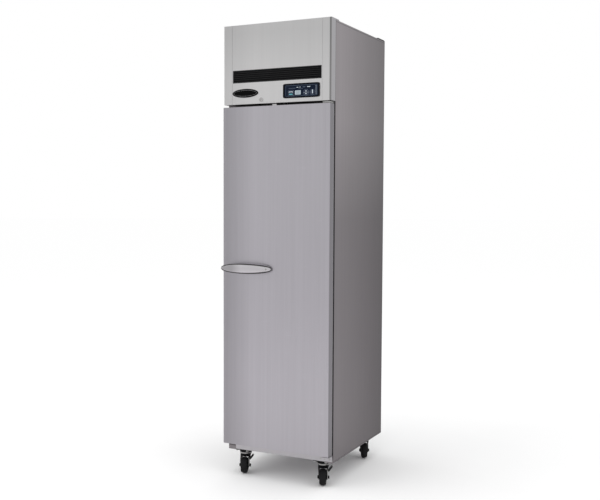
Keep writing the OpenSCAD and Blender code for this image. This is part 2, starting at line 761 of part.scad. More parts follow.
module condenser_shroud() color("dimgray") on_cabinet() difference() {
    y0 = coil_y + coil_t + 0.1;
    d = shroud_d;
    t = 1.5;
    block([coil_x0, y0, coil_z0], [coil_x1, y0 + d, coil_z0 + coil_h]);
    block([coil_x0 + t, y0 - 1, coil_z0 + t], [coil_x1 - t, y0 + d - t, coil_z0 + coil_h - t]);
    translate([fan_x, 0, fan_z]) along_y(y0 + d - 2 * t, y0 + d + t, fan_r + 5);
}

fan_y = coil_y + coil_t + 20;
module condenser_fan() color("lightslategray") on_cabinet() translate([fan_x, fan_y, fan_z]) {
    fan_wheel(fan_r, 24, 22, 5);
    along_y(14, 66, 4);
}

shroud_end = coil_y + coil_t + 0.1 + shroud_d + 0.1 - fan_y;
module condenser_fan_motor() color("black") on_cabinet() translate([fan_x, fan_y, fan_z]) difference() {
    union() {
        along_y(40, 96, 42);
        along_y(30, 40, 14);
        for (a = [45, 135]) rotate([0, a, 0]) block([-118, 84, -6], [118, 87, 6]);
        for (a = [45 : 90 : 315]) rotate([0, a, 0]) block([112, shroud_end, -6], [118, 87, 6]);
    }
    along_y(28, 80, 4 + fit);
}

// copper lines round the unit, and the filter drier brazed into the liquid line
module refrigerant_lines() color("peru") on_cabinet() {
    z = comp_z;
    y0 = comp_y - stub_y - 0.1;
    y1 = comp_y + stub_y + 0.1;
    low = deck_z + 14;
    outlet_z = coil_z0 + coil_low;
    top_z = outlet_z + (coil_tubes - 1) * coil_pitch;
    coil_x = coil_x0 - coil_stub - 0.1;
    x0 = comp_x + 30;
    mid = coil_y + coil_t / 2;
    swept_tube([[x0, y0, z + 118], [x0, y0 - 14, z + 118], [x0 + 4, y0 - 26, z + 122],
        [x0 + 14, y0 - 34, z + 132], [coil_x0 - 34, mid + 60, top_z - 16],
        [coil_x0 - 32, mid + 26, top_z - 6], [coil_x0 - 26, mid + 8, top_z - 1],
        [coil_x - 8, mid, top_z], [coil_x, mid, top_z]], 4);
    xd = coil_x0 - 42;
    zd = z + 18;
    swept_tube([[coil_x, mid, outlet_z], [coil_x - 14, mid, outlet_z], [coil_x - 28, mid + 7, outlet_z + 1],
        [xd, mid + 21, outlet_z + 4], [xd, mid + 47, zd]], 4);
    translate([xd, mid + 45, zd]) {
        along_y(0, 12, 7);
        along_y(12, 98, 14);
        along_y(98, 110, 7);
    }
    swept_tube([[xd, mid + 153, zd], [xd + 2, mid + 161, zd], [xd + 12, mid + 167, zd], [30, mid + 167, zd],
        [44, mid + 171, z + 14], [50, mid + 185, z + 2], [50, mid + 185, low]], 3);
    x1 = comp_x - 30;
    swept_tube([[x1, y1, z + 112], [x1, y1 + 12, z + 112], [x1 + 4, y1 + 24, z + 108],
        [x1 + 18, y1 + 32, z + 100], [40, y1 + 32, z + 60], [58, y1 + 32, z + 50],
        [66, y1 + 32, z + 36], [66, y1 + 32, low]], 6);
}

// electrical box against the back, with the socket ring that the supply cord would enter
module terminal_box() color("darkgray") on_cabinet() {
    y1 = body_d - sheet_t;
    difference() {
        union() {
            difference() {
                block([150, y1 - 86, deck_z + 20], [232, y1 - 1, deck_z + 120]);
                block([152, y1 - 84, deck_z + 22], [230, y1 - 3, deck_z + 118]);
            }
            translate([inlet_x, 0, inlet_z]) along_y(y1 - gland_l, body_d, inlet_r - 0.1);
            block([160, y1 - 60, deck_z + 13.6], [222, y1 - 20, deck_z + 21]);
        }
        translate([inlet_x, 0, inlet_z]) along_y(y1 - gland_l - 1, body_d + 1, gland_r);
    }
}

// drain hose from the evaporator down the rear wall, and the pan under the cabinet that it runs into
hose_x = 90;
hose_y = body_d - 24;
hose_z = evap_z + 9;
hose_r = 7;
module hose_path(r, end) {
    translate([hose_x, 0, hose_z]) along_y(room_back - 7, hose_y, r);
    translate([hose_x, hose_y, hose_z]) sphere(r = r);
    translate([hose_x, hose_y, end]) cylinder(r = r, h = hose_z - end);
}

module condensate_drain() color("gray") on_cabinet() {
    x = 118;
    y0 = 440;
    y1 = 600;
    t = 1.2;
    low = -36;
    rim = -7;
    hose_end = -12;
    difference() {
        block([-x, y0, low], [x, y1, rim]);
        block([-x + t, y0 + t, low + t], [x - t, y1 - t, 0]);
    }
    both_sides() block([x - t, y0, low], [x, y1, base_up]);
    hose_path(hose_r, hose_end);
    block([hose_x - 4, hose_y + 5, hose_end], [hose_x + 4, y1 - t / 2, rim]);
}

// ------------------------------------------------------------------ casters

// local frame of a caster: swivel axis on Z, the wheel trails towards -Y, brake on +X
casters = [[-1, caster_front, front_turn], [1, caster_front, front_turn],
           [-1, caster_rear, rear_turn], [1, caster_rear, rear_turn]];
module at_caster(i)
    translate([casters[i][0] * caster_x, y_face + casters[i][1], 0]) rotate([0, 0, casters[i][2]]) children();
bolt_dx = 28;
bolt_dy = 36;
module each_plate_hole()
    for (x = [-bolt_dx, bolt_dx], y = [-bolt_dy, bolt_dy]) translate([x, y, 0]) children();

module caster_plates() color("black") for (c = casters)
    translate([c[0] * caster_x, y_face + c[1], 0]) {
        difference() {
            block([-36, -44, plate_top - 4], [36, 44, plate_top]);
            each_plate_hole() translate([0, 0, plate_top - 5]) cylinder(r = 4.2, h = 6);
        }
        translate([0, 0, race_z]) cylinder(r = race_r, h = plate_top - race_z - 2);
        translate([0, 0, race_z - 14]) cylinder(r = kingpin_r, h = 16);
        translate([0, 0, race_z - 17]) cylinder(r = 10, h = 4);
    }

module caster_bolts() color("silver") for (c = casters)
    translate([c[0] * caster_x, y_face + c[1], 0]) each_plate_hole() {
        translate([0, 0, plate_top - 4]) cylinder(r = 4, h = 4);
        translate([0, 0, plate_top - 9]) cylinder(r = 7, h = 5, $fn = 6);
    }

module fork(room) color("silver") {
    top = race_z - free;
    low = top - crown_t;
    wheel_gap = 2;
    waist = wheel_r + 26;
    front = -trail - 14;
    leg_end = 11.8;
    axle_low = leg_x + leg_t + 5;
    difference() {
        union() {
            translate([0, 0, low]) cylinder(r = 27, h = crown_t);
            hull() {
                translate([0, 0, low]) cylinder(r = 26, h = 1, $fn = 32);
                block([-leg_x - leg_t, front, waist], [leg_x + leg_t, 6, waist + 1]);
            }
        }
        block([-leg_x, -3 * trail, 0], [leg_x, 2 * trail, wheel_d + wheel_gap]);
        translate([0, 0, low - 20]) cylinder(r = kingpin_r + fit, h = crown_t + 22);
        translate([0, 0, low - 20]) cylinder(r = 11, h = 19.8);
        // the brake arm swings in this notch
        block([leg_x + leg_t, -3 * trail, 0], [2 * wheel_r, -trail + pedal_w / 2 + 2, wheel_r + arm_l + 2]);
    }
    for (x = [-leg_x - leg_t, leg_x]) translate([x, 0, 0]) rotate([90, 0, 90]) linear_extrude(leg_t) {
        polygon([[front, waist + 0.5], [6, waist + 0.5],
                 [-trail + 9, wheel_r - 7], [-trail - 9, wheel_r - 7]]);
        translate([-trail, wheel_r]) circle(r = leg_end);
    }
    translate([0, -trail, wheel_r]) {
        along_x(-axle_low, axle_low + room, axle_r);
        rotate([0, 90, 0]) {
            translate([0, 0, -axle_low]) cylinder(r = 7.5, h = 5.2, $fn = 6);
            translate([0, 0, axle_low + room - 5.2]) cylinder(r = 7.5, h = 6, $fn = 6);
        }
    }
}

module caster_wheel() color("black") translate([0, -trail, wheel_r]) rotate([0, 90, 0]) rotate_extrude() {
    c = 4;
    hw = wheel_w / 2;
    rim = wheel_r - axle_r - fit;
    translate([axle_r + fit, 0]) polygon([[0, -hw - 1], [9, -hw - 1], [9, -hw + 5], [17, -hw + 5], [19, -hw],
        [rim - c, -hw], [rim, -hw + c], [rim, hw - c], [rim - c, hw],
        [19, hw], [17, hw - 5], [9, hw - 5], [9, hw + 1], [0, hw + 1]]);
}

module brake_lever() color("dimgray") translate([0, -trail, wheel_r]) {
    x0 = leg_x + leg_t + free;
    difference() {
        union() {
            along_x(x0, x0 + arm_t, 9);
            block([x0, -7, 0], [x0 + arm_t, 7, arm_l]);
            translate([x0 + 1, -pedal_w / 2, arm_l - 5]) rotate([0, 38, 0]) cube([6, pedal_w, 28]);
        }
        along_x(x0 - 1, x0 + arm_t + 1, axle_r + fit);
    }
}

module fork_front_left() at_caster(0) fork(arm_room);
module fork_front_right() at_caster(1) fork(arm_room);
module fork_rear_left() at_caster(2) fork(0);
module fork_rear_right() at_caster(3) fork(0);
module wheel_front_left() at_caster(0) caster_wheel();
module wheel_front_right() at_caster(1) caster_wheel();
module wheel_rear_left() at_caster(2) caster_wheel();
module wheel_rear_right() at_caster(3) caster_wheel();
module brake_front_left() at_caster(0) brake_lever();
module brake_front_right() at_caster(1) brake_lever();

// ------------------------------------------------------------------ the nodes

side_panel_left();
side_panel_right();
back_panel();
base_pan();
foam_insulation();
inner_liner();
breaker_frame();
roof_deck();
header_frame();
rear_corner_caps();
top_hinge();
bottom_hinge();
hinge_screws();
reed_switch();
shelf_pilasters();
shelf_clips();
wire_shelves();
interior_light();
evaporator_housing();
evaporator_unit();
condensate_drain();
unit_tray();
compressor();
compressor_mounts();
condenser_coil();
condenser_shroud();
condenser_fan_motor();
refrigerant_lines();
terminal_box();
caster_plates();
caster_bolts();
door_skin();
door_foam();
door_liner();
door_gasket();
door_handle();
lock_keeper();
hinge_bushings();
header_panel();
louvre_grille();
controller_case();
badge_plate();
lock_barrel();
lock_lever();
key_mode();
key_up();
key_down();
key_power();
condenser_fan();
evaporator_fan();
fork_front_left();
fork_front_right();
fork_rear_left();
fork_rear_right();
wheel_front_left();
wheel_front_right();
wheel_rear_left();
wheel_rear_right();
brake_front_left();
brake_front_right();
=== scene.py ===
import json
import math

import bmesh
import bpy
from mathutils import Matrix, Vector


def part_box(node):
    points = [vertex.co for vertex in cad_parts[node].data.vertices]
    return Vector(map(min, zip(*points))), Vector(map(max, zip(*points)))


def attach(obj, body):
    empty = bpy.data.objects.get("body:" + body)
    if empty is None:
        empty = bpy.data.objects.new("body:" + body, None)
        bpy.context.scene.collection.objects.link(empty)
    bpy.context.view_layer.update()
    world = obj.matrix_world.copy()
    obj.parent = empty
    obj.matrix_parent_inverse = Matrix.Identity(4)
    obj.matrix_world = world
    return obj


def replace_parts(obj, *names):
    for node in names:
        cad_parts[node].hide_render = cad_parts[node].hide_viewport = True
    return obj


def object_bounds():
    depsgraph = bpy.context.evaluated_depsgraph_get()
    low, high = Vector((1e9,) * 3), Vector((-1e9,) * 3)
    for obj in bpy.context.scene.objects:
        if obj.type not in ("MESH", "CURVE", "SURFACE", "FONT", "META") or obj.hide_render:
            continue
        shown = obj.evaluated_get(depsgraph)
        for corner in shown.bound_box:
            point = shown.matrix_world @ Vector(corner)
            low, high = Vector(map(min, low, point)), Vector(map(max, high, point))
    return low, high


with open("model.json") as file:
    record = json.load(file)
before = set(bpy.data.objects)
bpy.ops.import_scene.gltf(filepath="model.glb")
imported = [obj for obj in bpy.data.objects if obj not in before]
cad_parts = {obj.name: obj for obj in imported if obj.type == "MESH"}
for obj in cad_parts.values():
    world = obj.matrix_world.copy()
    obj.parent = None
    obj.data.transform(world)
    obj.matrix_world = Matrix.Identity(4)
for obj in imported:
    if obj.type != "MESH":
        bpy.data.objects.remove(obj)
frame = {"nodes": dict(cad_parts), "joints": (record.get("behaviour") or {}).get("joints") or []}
CAD_LO, CAD_HI = [list(v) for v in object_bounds()]
NODES = frame["nodes"]
scene = bpy.context.scene
rad = math.radians
MM = 0.001


# ---------------------------------------------------------------- camera and light

panel_lo, panel_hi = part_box("side_panel_right")
FACE = panel_lo.y
UNDER = panel_lo.z

cam = bpy.data.objects.new("camera", bpy.data.cameras.new("camera"))
scene.collection.objects.link(cam)
scene.camera = cam
cam.data.sensor_width = 36
cam.data.lens = 52.9
cam.data.clip_end = 60
cam.location = (1.8742, FACE - 3.6013, UNDER + 1.1963)
AZ, TILT, ROLL = rad(26.2), rad(3.28), rad(0.26)
fwd = Vector((-math.sin(AZ) * math.cos(TILT), math.cos(AZ) * math.cos(TILT), -math.sin(TILT)))
side = Vector((math.cos(AZ), math.sin(AZ), 0))
up = side.cross(fwd)
cam_x = side * math.cos(ROLL) + up * math.sin(ROLL)
cam_y = up * math.cos(ROLL) - side * math.sin(ROLL)
cam.rotation_mode = "QUATERNION"
cam.rotation_quaternion = Matrix((cam_x, cam_y, -fwd)).transposed().to_quaternion()

scene.view_settings.view_transform = "Standard"

world = bpy.data.worlds.new("studio")
scene.world = world
world.use_nodes = True
wt = world.node_tree
bg = wt.nodes["Background"]
bg.inputs["Color"].default_value = (1, 1, 1, 1)
rays = wt.nodes.new("ShaderNodeLightPath")
strength = wt.nodes.new("ShaderNodeMapRange")
strength.inputs["To Min"].default_value = 1.0
strength.inputs["To Max"].default_value = 0.60
wt.links.new(rays.outputs["Is Glossy Ray"], strength.inputs["Value"])
wt.links.new(strength.outputs["Result"], bg.inputs["Strength"])


def softbox(name, at, aim, size, power, shine):
    data = bpy.data.lights.new(name, "AREA")
    data.shape = "RECTANGLE"
    data.size, data.size_y = size
    data.energy = power
    o = bpy.data.objects.new(name, data)
    scene.collection.objects.link(o)
    o.location = at
    o.rotation_mode = "QUATERNION"
    o.rotation_quaternion = (Vector(aim) - Vector(at)).to_track_quat("-Z", "Y")
    o.visible_glossy = shine
    return o


softbox("key_light", (-2.6, -3.6, 3.0), (0, 0, 1.1), (2.4, 3.2), 30, False)
softbox("top_light", (0.2, -0.8, 4.6), (0, 0, 0.6), (3.4, 3.4), 30, False)
softbox("strip_light", (-3.4, -2.2, 1.5), (0, -0.3, 1.3), (0.5, 3.0), 12, True)


# ---------------------------------------------------------------- materials

MATS = {}


class Shader:
    """A material's node tree with short ways to add texture nodes."""

    def __init__(self, name):
        self.mat = bpy.data.materials.new(name)
        self.mat.use_nodes = True
        self.nt = self.mat.node_tree
        self.bsdf = self.nt.nodes["Principled BSDF"]
        self.coord = self.nt.nodes.new("ShaderNodeTexCoord").outputs["Object"]
        MATS[name] = self.mat

    def node(self, kind, **inputs):
        n = self.nt.nodes.new(kind)
        for k, v in inputs.items():
            n.inputs[k.replace("_", " ")].default_value = v
        return n

    def link(self, a, b):
        self.nt.links.new(a, b)

    def noise(self, stretch, detail=3.0, rough=0.55, shift=(0, 0, 0)):
        m = self.node("ShaderNodeMapping", Scale=stretch, Location=shift)
        self.link(self.coord, m.inputs["Vector"])
        n = self.node("ShaderNodeTexNoise", Scale=1.0, Detail=detail, Roughness=rough)
        self.link(m.outputs["Vector"], n.inputs["Vector"])
        return n.outputs["Fac"]

    def cells(self, scale, feature="F1"):
        n = self.node("ShaderNodeTexVoronoi", Scale=scale)
        n.feature = feature
        self.link(self.coord, n.inputs["Vector"])
        return n

    def remap(self, value, a, b, lo=0.3, hi=0.7):
        n = self.node("ShaderNodeMapRange")
        for k, v in (("From Min", lo), ("From Max", hi), ("To Min", a), ("To Max", b)):
            n.inputs[k].default_value = v
        self.link(value, n.inputs["Value"])
        return n.outputs["Result"]

    def math(self, op, a, b):
        n = self.nt.nodes.new("ShaderNodeMath")
        n.operation = op
        for i, v in enumerate((a, b)):
            if isinstance(v, (int, float)):
                n.inputs[i].default_value = v
            else:
                self.link(v, n.inputs[i])
        return n.outputs[0]

    def mix(self, fac, a, b, kind="MIX"):
        n = self.nt.nodes.new("ShaderNodeMix")
        n.data_type = "RGBA"
        n.blend_type = kind
        if isinstance(fac, (int, float)):
            n.inputs["Factor"].default_value = fac
        else:
            self.link(fac, n.inputs["Factor"])
        for key, v in (("A", a), ("B", b)):
            sock = [s for s in n.inputs if s.name == key and s.type == "RGBA"][0]
            if isinstance(v, tuple):
                sock.default_value = (*v, 1)
            else:
                self.link(v, sock)
        return [s for s in n.outputs if s.type == "RGBA"][0]

    def bump(self, height, strength, distance, under=None):
        n = self.node("ShaderNodeBump", Strength=strength, Distance=distance)
        self.link(height, n.inputs["Height"])
        if under is not None:
            self.link(under, n.inputs["Normal"])
        return n.outputs["Normal"]

    def place(self, axis, lo, hi):
        """0 at the place lo and 1 at the place hi, along one axis of the shared frame"""
        n = self.nt.nodes.new("ShaderNodeSeparateXYZ")
        self.link(self.coord, n.inputs["Vector"])
        if lo < hi:
            return self.remap(n.outputs[axis], 0, 1, lo, hi)
        return self.remap(n.outputs[axis], 1, 0, hi, lo)

    def facing(self, axis, lo=0.55, hi=0.9):
        """1 where the surface faces along the axis, either way"""
        t = self.nt.nodes.new("ShaderNodeTexCoord")
        n = self.nt.nodes.new("ShaderNodeSeparateXYZ")
        self.link(t.outputs["Normal"], n.inputs["Vector"])
        return self.remap(self.math("ABSOLUTE", n.outputs[axis], 0), 0, 1, lo, hi)

    def shade(self, c, mask, k):
        return self.mix(mask, c, (k, k, k), "MULTIPLY")

    def set(self, color=None, rough=None, normal=None, **fixed):
        for key, v in (("Base Color", color), ("Roughness", rough)):
            if v is None:
                continue
            if isinstance(v, (int, float)):
                self.bsdf.inputs[key].default_value = v
            elif isinstance(v, tuple):
                self.bsdf.inputs[key].default_value = (*v, 1)
            else:
                self.link(v, self.bsdf.inputs[key])
        if normal is not None:
            self.link(normal, self.bsdf.inputs["Normal"])
        for k, v in fixed.items():
            self.bsdf.inputs[k.replace("_", " ")].default_value = v
        return self.mat


def tint(c, k):
    return tuple(max(0.0, min(1.0, v * k)) for v in c)


def brushed(name, color, rough, along="Z", streak=0.10, metallic=1.0, marks=0.0, painted_light=None):
    s = Shader(name)
    across = {"X": (4, 900, 900), "Y": (900, 4, 900), "Z": (900, 900, 4)}[along]
    wide = {"X": (0.7, 55, 55), "Y": (55, 0.7, 55), "Z": (55, 55, 0.7)}[along]
    fine = s.noise(across, 2, 0.6)
    broad = s.noise(wide, 4, 0.7)
    cloud = s.noise((1.6, 1.6, 1.1), 2, 0.5, (3, 1, 7))
    c = s.mix(s.remap(broad, 0, 1), tint(color, 1 - streak), tint(color, 1 + streak))
    c = s.mix(s.remap(cloud, 0, 0.16), c, tint(color, 0.88))
    c = s.mix(s.remap(fine, 0, 0.12), c, tint(color, 1.25))
    r = s.math("ADD", s.remap(fine, -0.05, 0.06), s.remap(cloud, rough - 0.02, rough + 0.04))
    if marks:
        scuff = s.noise((9, 9, 30), 6, 0.75, (1, 2, 3))
        spots = s.remap(scuff, 0, marks, 0.62, 0.75)
        c = s.mix(spots, c, tint(color, 1.25))
    # painted light and shade, laid over the colour by the given function
    if painted_light:
        c = painted_light(s, c)
    n = s.bump(fine, 0.10, 0.0002)
    return s.set(c, r, n, Metallic=metallic, Anisotropic=0.35)


def coated(name, color, rough, metallic=0.0, speck=0.03, coat=0.0, grime=0.10, bump=0.06,
           scale=240, spec=0.5, painted_light=None):
    s = Shader(name)
    peel = s.noise((scale, scale, scale), 3, 0.5)
    cloud = s.noise((6, 6, 4), 4, 0.6, (5, 3, 1))
    fleck = s.noise((900, 900, 900), 1, 0.5, (2, 2, 2))
    c = s.mix(s.remap(cloud, 0, 1), tint(color, 1 - grime), tint(color, 1 + grime * 0.6))
    c = s.mix(s.remap(fleck, 0, speck), c, tint(color, 1.6))
    # painted light and shade, laid over the colour by the given function
    if painted_light:
        c = painted_light(s, c)
    r = s.math("ADD", s.remap(cloud, rough - 0.04, rough + 0.05), s.remap(peel, -0.02, 0.02))
    n = s.bump(peel, bump, 0.0004)
    extra = {"Coat_Weight": coat, "Coat_Roughness": 0.12} if coat else {}
    return s.set(c, r, n, Metallic=metallic, Specular_IOR_Level=spec, **extra)


def galvanised(name, color, rough):
    s = Shader(name)
    big = s.cells(70)
    small = s.noise((160, 160, 160), 3, 0.6)
    sep = s.nt.nodes.new("ShaderNodeSeparateColor")
    s.link(big.outputs["Color"], sep.inputs["Color"])
    c = s.mix(s.remap(sep.outputs["Red"], 0, 1, 0, 1), tint(color, 0.86), tint(color, 1.1))
    c = s.mix(s.remap(small, 0, 0.25), c, tint(color, 0.8))
    r = s.remap(sep.outputs["Green"], rough - 0.07, rough + 0.07, 0, 1)
    n = s.bump(small, 0.08, 0.0003)
    return s.set(c, r, n, Metallic=0.9)


def copper_like(name, color):
    s = Shader(name)
    draw = s.noise((60, 60, 60), 5, 0.7)
    tarnish = s.noise((14, 14, 14), 4, 0.7, (4, 4, 1))
    c = s.mix(s.remap(tarnish, 0, 1), color, tint(color, 0.55))
    c = s.mix(s.remap(draw, 0, 0.3), c, tint(color, 1.3))
    return s.set(c, s.remap(draw, 0.22, 0.42), s.bump(draw, 0.08, 0.0003), Metallic=1.0)


def foam_like(name, color):
    s = Shader(name)
    cell = s.cells(420)
    cloud = s.noise((20, 20, 20), 4, 0.6)
    c = s.mix(s.remap(cloud, 0, 1), tint(color, 0.85), tint(color, 1.1))
    return s.set(c, s.remap(cloud, 0.85, 0.95), s.bump(cell.outputs["Distance"], 0.5, 0.001))


def rubber(name, color, rough=0.62, dust=0.12):
    s = Shader(name)
    fine = s.noise((500, 500, 500), 3, 0.6)
    cloud = s.noise((18, 18, 18), 5, 0.65, (2, 7, 1))
    c = s.mix(s.remap(cloud, 0, 1), tint(color, 0.85), tint(color, 1.25))
    c = s.mix(s.remap(cloud, 0, dust, 0.55, 0.8), c, (0.30, 0.29, 0.27))
    r = s.math("ADD", s.remap(cloud, rough - 0.06, rough + 0.1), s.remap(fine, -0.03, 0.03))
    return s.set(c, r, s.bump(fine, 0.25, 0.0003), Specular_IOR_Level=0.2)


def glow(name, color, power):
    s = Shader(name)
    fleck = s.noise((300, 300, 300), 2, 0.5)
    c = s.mix(s.remap(fleck, 0, 0.3), color, tint(color, 0.8))
    s.link(c, s.bsdf.inputs["Emission Color"])
    return s.set(c, s.remap(fleck, 0.25, 0.4), None, Emission_Strength=power)


LEFT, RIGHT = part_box("side_panel_left")[0].x, panel_hi.x
BACK = panel_hi.y


def door_painted_shade(s, c):
    # painted shade: darker towards the door's left edge, and darker on the faces that face along X
    c = s.shade(c, s.place("X", LEFT + 0.16, LEFT + 0.02), 0.74)
    return s.shade(c, s.facing("X"), 0.56)


def side_painted_shade(s, c):
    # painted shade: a dark line down the panel's front edge, at the gap behind the door
    front = s.place("Y", FACE + 0.0034, FACE + 0.0026)
    gap_shade = s.math("MULTIPLY", front, s.place("Z", UNDER + 0.016, UNDER + 0.022))
    c = s.shade(c, gap_shade, 0.35)
    # painted shade: darker below about 1.66 m and darker towards the rear
    c = s.shade(c, s.place("Z", 1.66, 1.22), 0.71)
    return s.shade(c, s.place("Y", FACE + 0.06, BACK), 0.56)


def panel_painted_shade(s, c):
    # painted shade: darker towards the left edge and towards the top
    c = s.shade(c, s.place("X", LEFT + 0.16, LEFT), 0.86)
    return s.shade(c, s.place("Z", 1.86, 2.06), 0.88)


def header_painted_shade(s, c):
    c = panel_painted_shade(s, c)
    # painted shade: a dark line down the front corner of the right post
    c = s.shade(c, s.place("X", RIGHT - 0.0095, RIGHT - 0.0085), 0.40)
    # painted shade: the faces that face along X are given a darker grey
    c = s.mix(s.facing("X"), c, (0.62, 0.61, 0.63))
    # painted shade: the inner rails behind the gap above the door are made almost black
    from_right = s.place("X", RIGHT - 0.0425, RIGHT - 0.0435)
    from_left = s.place("X", LEFT + 0.0425, LEFT + 0.0435)
    inside = s.math("MULTIPLY", from_right, from_left)
    return s.shade(c, s.math("MULTIPLY", inside, s.place("Y", FACE - 0.026, FACE - 0.022)), 0.04)


def blade_painted_highlight(s, c):
    """paints a highlight, a lighter colour, on the front edges of the louvre's blades"""
    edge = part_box("louvre_grille")[0].y
    return s.mix(s.place("Y", edge + 0.0022, edge + 0.0012), c, (0.034, 0.034, 0.036))


def pull_painted_shade(s, c):
    # painted shade: the left part of the pull is darker
    return s.shade(c, s.place("X", LEFT + 0.12, LEFT + 0.07), 0.66)


brushed("door_steel", (0.64, 0.622, 0.664), 0.33, "Z", 0.035, marks=0.2, painted_light=door_painted_shade)
# the side panels' steel is given a darker colour than the door's steel, as painted shade
brushed("side_steel", (0.485, 0.452, 0.47), 0.38, "Z", 0.03, painted_light=side_painted_shade)
brushed("header_steel", (0.86, 0.855, 0.855), 0.36, "Z", 0.025, painted_light=panel_painted_shade)
brushed("frame_steel", (0.86, 0.855, 0.855), 0.36, "Z", 0.025, painted_light=header_painted_shade)
brushed("bright_steel", (0.72, 0.71, 0.71), 0.14, "X", 0.05)
brushed("zinc_plate", (0.58, 0.58, 0.57), 0.34, "X", 0.08)
brushed("base_steel", (0.66, 0.645, 0.67), 0.36, "X", 0.04)
brushed("pull_steel", (0.82, 0.80, 0.83), 0.30, "X", 0.03, painted_light=pull_painted_shade)
brushed("badge_trim", (0.60, 0.60, 0.61), 0.30, "X", 0.04)
brushed("fin_metal", (0.60, 0.61, 0.62), 0.35, "Z", 0.10)
# painted shade: a near-black coat for the roof deck in the gap above the door and for the pull's dark outline
coated("painted_shade_dark", (0.06, 0.057, 0.06), 0.4, metallic=0.5, grime=0.12, spec=0.2)
coated("hem_shadow", (0.10, 0.095, 0.10), 0.5, metallic=0.4)
galvanised("galvanised", (0.56, 0.58, 0.60), 0.40)
coated("liner_white", (0.74, 0.75, 0.76), 0.30, grime=0.04, bump=0.05)
coated("black_plastic", (0.012, 0.012, 0.013), 0.46, grime=0.25, bump=0.12, scale=600, spec=0.28)
coated("gloss_black", (0.004, 0.004, 0.005), 0.30, grime=0.2, bump=0.02, spec=0.10)
coated("louvre_black", (0.006, 0.006, 0.0065), 0.42, grime=0.2, bump=0.04, spec=0.16, painted_light=blade_painted_highlight)
coated("badge_black", (0.003, 0.003, 0.003), 0.45, grime=0.2, bump=0.02, spec=0.03)
coated("grey_plastic", (0.16, 0.16, 0.165), 0.45, grime=0.12, bump=0.12, scale=500)
coated("navy_panel", (0.004, 0.009, 0.022), 0.34, grime=0.2, bump=0.03, spec=0.10)
coated("key_dark", (0.018, 0.024, 0.050), 0.36, grime=0.15, bump=0.1, scale=700, spec=0.25)
coated("key_line", (0.10, 0.13, 0.18), 0.4, grime=0.1, spec=0.2)
coated("mark_grey", (0.22, 0.25, 0.30), 0.4, grime=0.1, spec=0.2)
coated("teal_print", (0.10, 0.42, 0.46), 0.35, grime=0.1)
coated("white_print", (0.50, 0.56, 0.60), 0.4, grime=0.05, spec=0.2)
coated("display_glass", (0.34, 0.40, 0.44), 0.2, grime=0.05, bump=0.02, spec=0.3)
coated("display_mark", (0.17, 0.20, 0.24), 0.4)
coated("black_enamel", (0.012, 0.012, 0.013), 0.22, coat=0.4, grime=0.2, bump=0.15, scale=120)
coated("shelf_coat", (0.80, 0.80, 0.77), 0.28, coat=0.3, grime=0.04)
coated("fan_blade", (0.35, 0.36, 0.37), 0.35, metallic=0.8, grime=0.08)
coated("cast_black", (0.006, 0.006, 0.007), 0.42, grime=0.3, bump=0.2, scale=260, spec=0.2)
copper_like("copper", (0.78, 0.40, 0.24))
foam_like("foam", (0.72, 0.58, 0.30))
rubber("gasket_rubber", (0.075, 0.075, 0.078), 0.60)
rubber("tyre_rubber", (0.008, 0.008, 0.009), 0.55, dust=0.015)
rubber("grommet_rubber", (0.03, 0.03, 0.03), 0.6)
glow("lamp_lens", (0.85, 0.88, 0.9), 0.25)

floor_s = Shader("studio_floor")
near = floor_s.node("ShaderNodeVectorMath")
near.operation = "LENGTH"
floor_s.link(floor_s.coord, near.inputs[0])
seen = floor_s.nt.nodes.new("ShaderNodeLightPath").outputs["Is Glossy Ray"]
far = floor_s.remap(near.outputs["Value"], 0, 1, 1.0, 3.4)
floor_n = floor_s.noise((3, 3, 3), 2)
floor_c = floor_s.mix(floor_s.remap(floor_n, 0, 1), (0.945, 0.945, 0.945), (0.955, 0.955, 0.955))
floor_c = floor_s.mix(far, floor_c, (0.995, 0.995, 0.995))
# painted reflection: the floor is given a darker colour where it is seen in reflections
mirrored = floor_s.mix(far, (0.575, 0.565, 0.57), (0.535, 0.525, 0.535))
floor_s.set(floor_s.mix(seen, floor_c, mirrored), 0.8, None, Specular_IOR_Level=0.0)


# ---------------------------------------------------------------- mesh helpers


def piece(name, bm, mat, body, angle=38, levels=0):
    bmesh.ops.recalc_face_normals(bm, faces=bm.faces[:])
    me = bpy.data.meshes.new(name)
    bm.to_mesh(me)
    bm.free()
    for p in me.polygons:
        p.use_smooth = True
    me.set_sharp_from_angle(angle=rad(angle))
    me.materials.append(MATS[mat])
    o = bpy.data.objects.new(name, me)
    scene.collection.objects.link(o)
    if levels:
        m = o.modifiers.new("sub", "SUBSURF")
        m.levels = m.render_levels = levels
    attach(o, body)
    return o


def rings_to(bm, rings, closed=True, cap=True, loop=False):
    rows = [[bm.verts.new(p) for p in ring] for ring in rings]
    n = len(rows[0])
    pairs = list(zip(rows, rows[1:])) + ([(rows[-1], rows[0])] if loop else [])
    for a, b in pairs:
        for i in range(n if closed else n - 1):
            j = (i + 1) % n
            bm.faces.new((a[i], a[j], b[j], b[i]))
    if cap and not loop:
        bm.faces.new(rows[0][::-1])
        bm.faces.new(rows[-1])


def loft(name, rings, mat, body, **kw):
    loop = kw.pop("loop", False)
    bm = bmesh.new()
    rings_to(bm, rings, cap=not loop, loop=loop)
    return piece(name, bm, mat, body, **kw)


def rrect(w, h, r, n=6):
    r = max(r, 1e-5)
    pts = []
    for cx, cz, a0 in ((1, 1, 0), (-1, 1, 90), (-1, -1, 180), (1, -1, 270)):
        for i in range(n + 1):
            a = rad(a0 + 90 * i / n)
            pts.append((cx * (w / 2 - r) + r * math.cos(a), cz * (h / 2 - r) + r * math.sin(a)))
    return pts


def curve_of(n, a, b):
    """a superellipse's half height where the half width is a and the place is b from its middle"""
    return (max(0.0, 1 - abs(b / a) ** n)) ** (1 / n)


